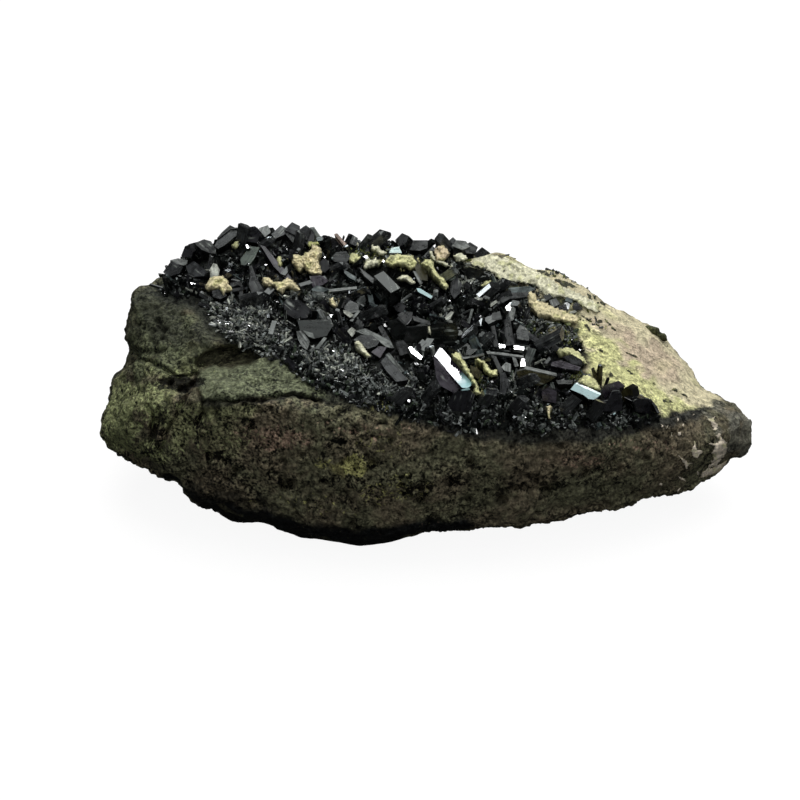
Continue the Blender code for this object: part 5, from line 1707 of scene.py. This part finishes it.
VEINS = (
    (
        (706, 416), (709, 419), (712, 418), (715, 416), (714, 420), (718, 424), (719, 427), (716, 430),
        (713, 430), (712, 426), (710, 423),
    ),
    (
        (719, 432), (721, 434), (723, 438), (728, 443), (727, 448), (726, 453), (724, 458), (720, 462),
        (716, 466), (711, 468), (718, 465), (726, 462), (722, 468), (716, 472), (708, 475), (702, 478),
        (700, 476), (702, 472), (706, 470), (709, 466), (712, 460), (714, 456), (711, 453), (714, 449),
        (714, 446), (708, 445), (708, 443), (713, 443), (718, 442), (720, 440), (717, 437), (717, 433),
    ),
    (
        (694, 440), (696, 444), (698, 449), (703, 450), (703, 453), (699, 455), (697, 458), (693, 458),
        (692, 454), (690, 451), (693, 447),
    ),
    (
        (679, 456), (683, 457), (685, 461), (688, 462), (692, 463), (689, 466), (686, 469), (684, 464),
        (681, 460),
    ),
    ((676, 476), (679, 476), (687, 481), (686, 483), (680, 479)),
    ((691, 419), (694, 413), (695, 414), (692, 420)),
    ((660, 424), (664, 425), (664, 427), (661, 427)),
    ((665, 429), (668, 423), (670, 423), (668, 428)),
    ((670, 432), (672, 430), (673, 436), (671, 436)),
    ((677, 434), (681, 431), (681, 435), (678, 437)),
    ((677, 420), (678, 417), (680, 420), (678, 422)),
    ((682, 425), (684, 422), (685, 426), (683, 427)),
    ((697, 470), (699, 472), (698, 476), (696, 474)),
    ((676, 492), (680, 487), (681, 488), (678, 493)),
    ((659, 484), (661, 482), (664, 485), (662, 487)),
)


def ellipse_outline(blotch, count=10):
    """The outline of a blotch."""
    turn = math.radians(blotch.turn)
    points = []
    for number in range(count):
        angle = math.tau * number / count
        across, down = blotch.reach[0] * math.cos(angle), blotch.reach[1] * math.sin(angle)
        right = across * math.cos(turn) - down * math.sin(turn)
        lower = across * math.sin(turn) + down * math.cos(turn)
        points.append((blotch.middle[0] + right, blotch.middle[1] + lower))
    return tuple(points)


# In pixels: how fine a crust's grid is and over how wide a band its edge rounds off.
GRID_STEP = 0.75
EDGE_ROUNDING = 2.6
# How steeply a crust's front stands, how much smaller its back is and how deep that lies in the rock.
STANDING_SLOPE = 0.9
BACK_WIDTH = 0.8
BACK_HEIGHT = 0.45
BACK_DEPTH = 0.8 * MM


def plane_depths(front, back, crust, rock_tree):
    """The depths of the front spots on a face that stands up from its foot, and of the back spots on
    a plane through the rock around the outline."""
    samples = [(*spot, seen_depth(spot, rock_tree)) for spot in crust.outline]
    sides = np.array([(x, y, 1.0) for x, y, _ in samples])
    plane = np.linalg.lstsq(sides, np.array([depth for _, _, depth in samples]), rcond=None)[0]
    foot = max(y for _, y in crust.outline)
    level = np.column_stack((front[:, 0], np.full(len(front), foot), np.ones(len(front)))) @ plane
    standing = level + (foot - front[:, 1]) * min(-plane[1], STANDING_SLOPE * PIXEL)
    return standing, np.column_stack((back, np.ones(len(back)))) @ plane


def skin_depths(spots, skin, near):
    """The depths of the rock's own surface, or far away where the sight line misses it."""
    depths = np.full(len(spots), -1.0)
    for number in np.flatnonzero(near):
        hit = skin.ray_cast(EYE, sight_line(spots[number]))[0]
        if hit is not None:
            depths[number] = (hit - EYE).dot(SIGHT)
    return depths


def crust_sheet(crust, rock_tree, number):
    """The corners, faces and colours of one crust: a ragged front on a narrower back in the rock."""
    outline = np.array(crust.outline, float)
    low, high = outline.min(axis=0) - 2.0, outline.max(axis=0) + 2.0
    columns, rows = (np.arange(low[k], high[k], GRID_STEP) for k in (0, 1))
    across, down = np.meshgrid(columns, rows)
    spots = np.stack((across.ravel(), down.ravel()), axis=1)
    flat = np.column_stack((spots, np.full(len(spots), 31.0 * number)))
    away = far_from_line(spots, crust.outline + crust.outline[:1])
    signed = np.where(inside(spots, crust.outline), away, -away)
    signed += clouds(flat, 3.4, 3) * crust.ragged + clouds(flat, 1.6, 5) * crust.ragged * 0.5
    rear = spots
    if crust.hugs:
        base = ground = skin_depths(spots, rock_tree, signed > -2.0)
        signed = np.where(base > 0.0, signed, -1.0)
    else:
        anchor = np.array((outline[:, 0].mean(), outline[:, 1].max()))
        rear = anchor + (spots - anchor) * (BACK_WIDTH, BACK_HEIGHT)
        base, ground = plane_depths(spots, rear, crust, rock_tree)
    rounding = np.sqrt(np.clip(signed / EDGE_ROUNDING, 0.0, 1.0))
    relief = clouds(flat, 4.5, 7) * 0.7 + clouds(flat, 2.2, 9) * 0.5
    relief += faded(edges_of_cells(flat, 3.6, 11), 0.0, 0.3) * 0.5 - 0.3
    lift = crust.height * (0.45 + 0.55 * rounding) + crust.bulge * rounding * (0.6 + relief * 0.7)
    front = depth_points(spots, base - lift * MM)
    back = depth_points(rear, ground + BACK_DEPTH)
    keep = (signed > 0.0).reshape(across.shape)
    cell = keep[:-1, :-1] & keep[1:, :-1] & keep[:-1, 1:] & keep[1:, 1:]
    wide = across.shape[1]
    count = len(spots)
    faces = []
    for row, column in np.argwhere(cell):
        a = row * wide + column
        ring = (a, a + 1, a + wide + 1, a + wide)
        faces.append(ring[::-1])
        faces.append(tuple(k + count for k in ring))
        sides = ((row - 1, column), (row, column + 1), (row + 1, column), (row, column - 1))
        for turn, (near_row, near_column) in enumerate(sides):
            outer = not (0 <= near_row < cell.shape[0] and 0 <= near_column < cell.shape[1])
            if outer or not cell[near_row, near_column]:
                start, end = ring[turn], ring[(turn + 1) % 4]
                faces.append((start, end, end + count, start + count))
    # Painted shade: the crust is darker where its relief is low and towards its rounded edge.
    shade = np.clip(0.80 + relief * 0.42 + clouds(flat, 1.3, 13) * 0.22, 0.2, 1.1)
    shade = shade * (0.70 + 0.30 * rounding)
    colour = np.array(crust.colour) * shade[:, None]
    greener = faded(clouds(flat, 5.0, 15), 0.1, 0.5)[:, None] * 0.5
    colour = colour * (1.0 - greener) + np.array(GREEN_CREAM) * shade[:, None] * greener
    # Painted shade: the back takes half the front's colour.
    return np.vstack((front, back)), faces, np.vstack((colour, colour * 0.5))


def depth_points(spots, depth):
    """The places seen at picture points, at the given depths along the view."""
    across = (spots[:, 0] - PICTURE_SIDE / 2) * PIXEL * depth / VIEW_DISTANCE
    up = (PICTURE_SIDE / 2 - spots[:, 1]) * PIXEL * depth / VIEW_DISTANCE
    return np.array(EYE) + np.outer(depth, SIGHT) + np.outer(across, RIGHT) + np.outer(up, PICTURE_UP)


# How strongly grains and pits show on the crusts and on the knob.
CRUST_CONTRAST = 0.22
KNOB_CONTRAST = 0.8


def make_crusts(name, crusts, rock_tree, finish):
    """Several crusts as one mesh."""
    corners, faces, colours = [], [], []
    for number, crust in enumerate(crusts):
        made_corners, made_faces, made_colours = crust_sheet(crust, rock_tree, number + len(name))
        start = len(corners)
        corners.extend(made_corners.tolist())
        faces.extend([start + k for k in face] for face in made_faces)
        colours.extend((*colour, CRUST_CONTRAST) for colour in made_colours)
    used = sorted({k for face in faces for k in face})
    renumbered = {old: new for new, old in enumerate(used)}
    mesh = bpy.data.meshes.new(name)
    mesh.from_pydata([corners[k] for k in used], [], [[renumbered[k] for k in face] for face in faces])
    mesh.shade_smooth()
    add_attribute(mesh, "paint", "FLOAT_COLOR", [colours[k] for k in used])
    mesh.materials.append(finish)
    return placed(name, mesh)


# Where the knob's middle sits on the rock, in the picture, and its half sizes along the skyline, out
# of it and along the view. Its waist parts it into a longer and a shorter lobe.
KNOB_MIDDLE = (655.6, 332.8)
KNOB_REACH = (2.2 * MM, 1.0 * MM, 1.7 * MM)
KNOB_WAIST = -0.3
KNOB_WAIST_WIDTH = 0.24
KNOB_WAIST_DEPTH = 0.45
# The way out of the skyline there.
KNOB_OUT = (RIGHT * 0.53 + PICTURE_UP * 0.85).normalized()


def make_knob(finish, skin):
    """The mossy knob on the flank: a crystal under a rough coat, flattened along the skyline."""
    axes = np.array((KNOB_OUT.cross(SIGHT), KNOB_OUT, SIGHT))
    ball = bmesh.new()
    bmesh.ops.create_icosphere(ball, subdivisions=4, radius=1.0)
    mesh = bpy.data.meshes.new("flank_knob_mossy")
    ball.to_mesh(mesh)
    ball.free()
    shape = read(mesh, "co", 3)
    middle = depth_points(np.array([KNOB_MIDDLE]), np.array([seen_depth(KNOB_MIDDLE, skin)]))
    from_waist = (shape[:, 0] - KNOB_WAIST) / KNOB_WAIST_WIDTH
    slim = 1.0 - KNOB_WAIST_DEPTH * np.exp(-from_waist**2)
    reach = np.outer(slim, KNOB_REACH)
    reach[:, 0] = KNOB_REACH[0]
    places = middle + (shape * reach) @ axes
    relief = clouds(places, 1.2 * MM, 50) * 0.3 + clouds(places, 0.5 * MM, 51) * 0.25
    shade = 1.0 + clouds(places, 1.0 * MM, 52) * 0.7
    mesh.vertices.foreach_set("co", (places + (shape @ axes) * relief[:, None] * MM).ravel())
    mesh.update()
    mesh.shade_smooth()
    paint = np.column_stack((np.outer(shade, MOSS_DARK), np.full(len(places), KNOB_CONTRAST)))
    add_attribute(mesh, "paint", "FLOAT_COLOR", paint)
    mesh.materials.append(finish)
    return placed("flank_knob_mossy", mesh)


class Lamp(NamedTuple):
    """A far light, by the direction that it comes from: azimuth 0 is behind the specimen and 90 right."""

    name: str
    azimuth: float
    elevation: float
    spread: float
    power: float
    colour: tuple = (1.0, 1.0, 1.0)
    diffuse: bool = True
    glossy: bool = True


LAMPS = (
    Lamp("overhead_panel", 20, 68, 70, 2.7, (1.0, 0.985, 0.96), glossy=False),
    Lamp("front_fill", 165, 38, 70, 1.08, (0.96, 0.98, 1.0), glossy=False),
    Lamp("sheen_grey", 10, 68, 44, 0.85, (0.94, 1.0, 0.97), diffuse=False),
    Lamp("window_white", 35, 44, 7, 0.8, (0.98, 0.98, 1.0), diffuse=False),
    Lamp("window_teal", -36, 65, 8, 0.075, (0.58, 0.92, 0.95), diffuse=False),
    Lamp("side_strip", -95, 30, 8, 0.22, (0.9, 0.97, 1.0), diffuse=False),
    Lamp("right_strip", 100, 25, 8, 0.22, diffuse=False),
    Lamp("low_back_strip", -15, 22, 9, 0.22, (0.85, 0.95, 1.0), diffuse=False),
)


SKY = (0.95, 0.98, 1.0, 1.0)
SKY_STRENGTH = 0.035
FLOOR_HALF = 8.0
FLOOR_GREY = (0.14, 0.14, 0.14, 1.0)
FLOOR_GLOW = 0.92


def make_lights():
    """Far lamps round the specimen and a faint sky."""
    for lamp in LAMPS:
        light = bpy.data.lights.new(lamp.name, "SUN")
        light.energy = lamp.power
        light.angle = math.radians(lamp.spread)
        light.color = lamp.colour
        item = placed(lamp.name, light)
        item.rotation_mode = "QUATERNION"
        item.rotation_quaternion = lamp_direction(lamp).to_track_quat("Z", "Y")
        item.visible_diffuse = lamp.diffuse
        item.visible_glossy = lamp.glossy
    world = bpy.data.worlds.new("studio")
    world.use_nodes = True
    sky = world.node_tree.nodes["Background"]
    sky.inputs["Color"].default_value = SKY
    sky.inputs["Strength"].default_value = SKY_STRENGTH
    bpy.context.scene.world = world


def make_floor():
    """A pale floor that doesn't light the specimen or show in its faces."""
    mesh = bpy.data.meshes.new("floor")
    side = FLOOR_HALF
    corners = [(-side, -side, 0.0), (side, -side, 0.0), (side, side, 0.0), (-side, side, 0.0)]
    mesh.from_pydata(corners, [], [(0, 1, 2, 3)])
    made, _, shader = new_material("pale floor")
    shader.inputs["Base Color"].default_value = FLOOR_GREY
    shader.inputs["Emission Color"].default_value = (1.0, 1.0, 1.0, 1.0)
    shader.inputs["Emission Strength"].default_value = FLOOR_GLOW
    shader.inputs["Roughness"].default_value = 1.0
    shader.inputs["Specular IOR Level"].default_value = 0.0
    mesh.materials.append(made)
    floor = placed("floor", mesh)
    floor.visible_diffuse = False
    floor.visible_glossy = False


def make_camera():
    """The camera at the photograph's viewing angle."""
    camera = bpy.data.cameras.new("camera")
    camera.sensor_width = SENSOR
    camera.lens = SENSOR * VIEW_DISTANCE / (PICTURE_SIDE * PIXEL)
    camera.clip_start = 0.01
    camera.clip_end = 50.0
    item = placed("camera", camera)
    item.location = EYE
    item.rotation_mode = "QUATERNION"
    item.rotation_quaternion = (-SIGHT).to_track_quat("Z", "Y")
    bpy.context.scene.camera = item


def declare(piece, node):
    """Puts a piece on the root body and hides the node that it takes the place of."""
    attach(piece, "root")
    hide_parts(node)


def make_marks(skin, stone, cream):
    """The dark marks and the cream veins on the rock, with the node and the slot of each."""
    marks = [Crust(ellipse_outline(mark), FLANK_DARK, 0.14, 0.1, hugs=True) for mark in FLANK_MARKS]
    veins = [Crust(outline, VEIN_CREAM, 0.30, 0.15, 1.5, True) for outline in VEINS]
    veins.append(Crust(TAN_FOOT, VEIN_TAN, 0.15, 0.1, 1.2, True))
    return [
        (make_crusts("flank_marks", marks, skin, stone), "matrix", "rock"),
        (make_crusts("cream_veins", veins, skin, cream), "matrix", "rock"),
    ]


def make_feldspar(rock_tree, skin, cream):
    """The crust along the crest, the lumps and the small grains, with the node and the slot of each."""
    pieces = [(make_crusts("crest_band", CREST_CRUSTS, skin, cream), "druse", "feldspar")]
    for name, crusts in sorted(CRUSTS.items()):
        title = "feldspar_grains" if name == "druse" else name + "_ragged"
        pieces.append((make_crusts(title, crusts, rock_tree, cream), name, "feldspar"))
    return pieces


def make_large_crystals(nodes, rock_tree, dark, satin, hero):
    """The crystals with faces drawn in the picture, then the others, with the node and the slot of each."""
    pieces = []
    for name, facets in sorted(FACETS.items()):
        node = "druse" if name == "druse" else "prism_" + name
        mirror = hero if name == "hero_white" else dark
        pieces.append((make_facets(node + "_facets", facets, rock_tree, satin, mirror), node, "epidote"))
    shaped = {node for _, node, _ in pieces} | {"prism_flank_knob"}
    for number, (name, node) in enumerate(sorted(nodes.items())):
        if name.startswith("prism") and name not in shaped:
            pieces.append((make_large_crystal(node, dark, rock_tree, number), name, "epidote"))
    return pieces


def main():
    """Builds the scene: the rock first, then what lies on it, and the small crystals round all that."""
    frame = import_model()
    nodes = frame["nodes"]
    bpy.context.scene.view_settings.view_transform = "Standard"
    make_camera()
    make_lights()
    make_floor()
    crust = tree_of([nodes["druse"]])
    rock, bed, flank = make_rock(frame, rock_material(), crust)
    declare(rock, "matrix")
    dark = crystal_material("black epidote", 0.07, flecks=0.6)
    satin = crystal_material("satin epidote", 0.26, flecks=0.9)
    pale = crystal_material("dusted epidote", 0.14)
    hero = crystal_material("mirror epidote", 0.04, 0.04, painted_cool_end=True)
    cream = rock_material("cream feldspar", 0.4)
    rock_tree = tree_of([nodes["matrix"]])
    skin = tree_of([rock])
    stone = rock.data.materials[0]
    pieces = [(make_knob(stone, skin), "prism_flank_knob", "epidote")]
    pieces += make_marks(skin, stone, cream)
    pieces += make_feldspar(rock_tree, skin, cream)
    pieces += make_large_crystals(nodes, rock_tree, dark, satin, hero)
    fixed = tree_of([piece for piece, _, _ in pieces])
    for piece in make_druse(rock, bed, flank, fixed, dark, pale) + [make_blocks(rock_tree, skin, dark)]:
        pieces.append((piece, "druse", "epidote"))
    for piece, node, slot in pieces:
        declare(piece, node)


main()
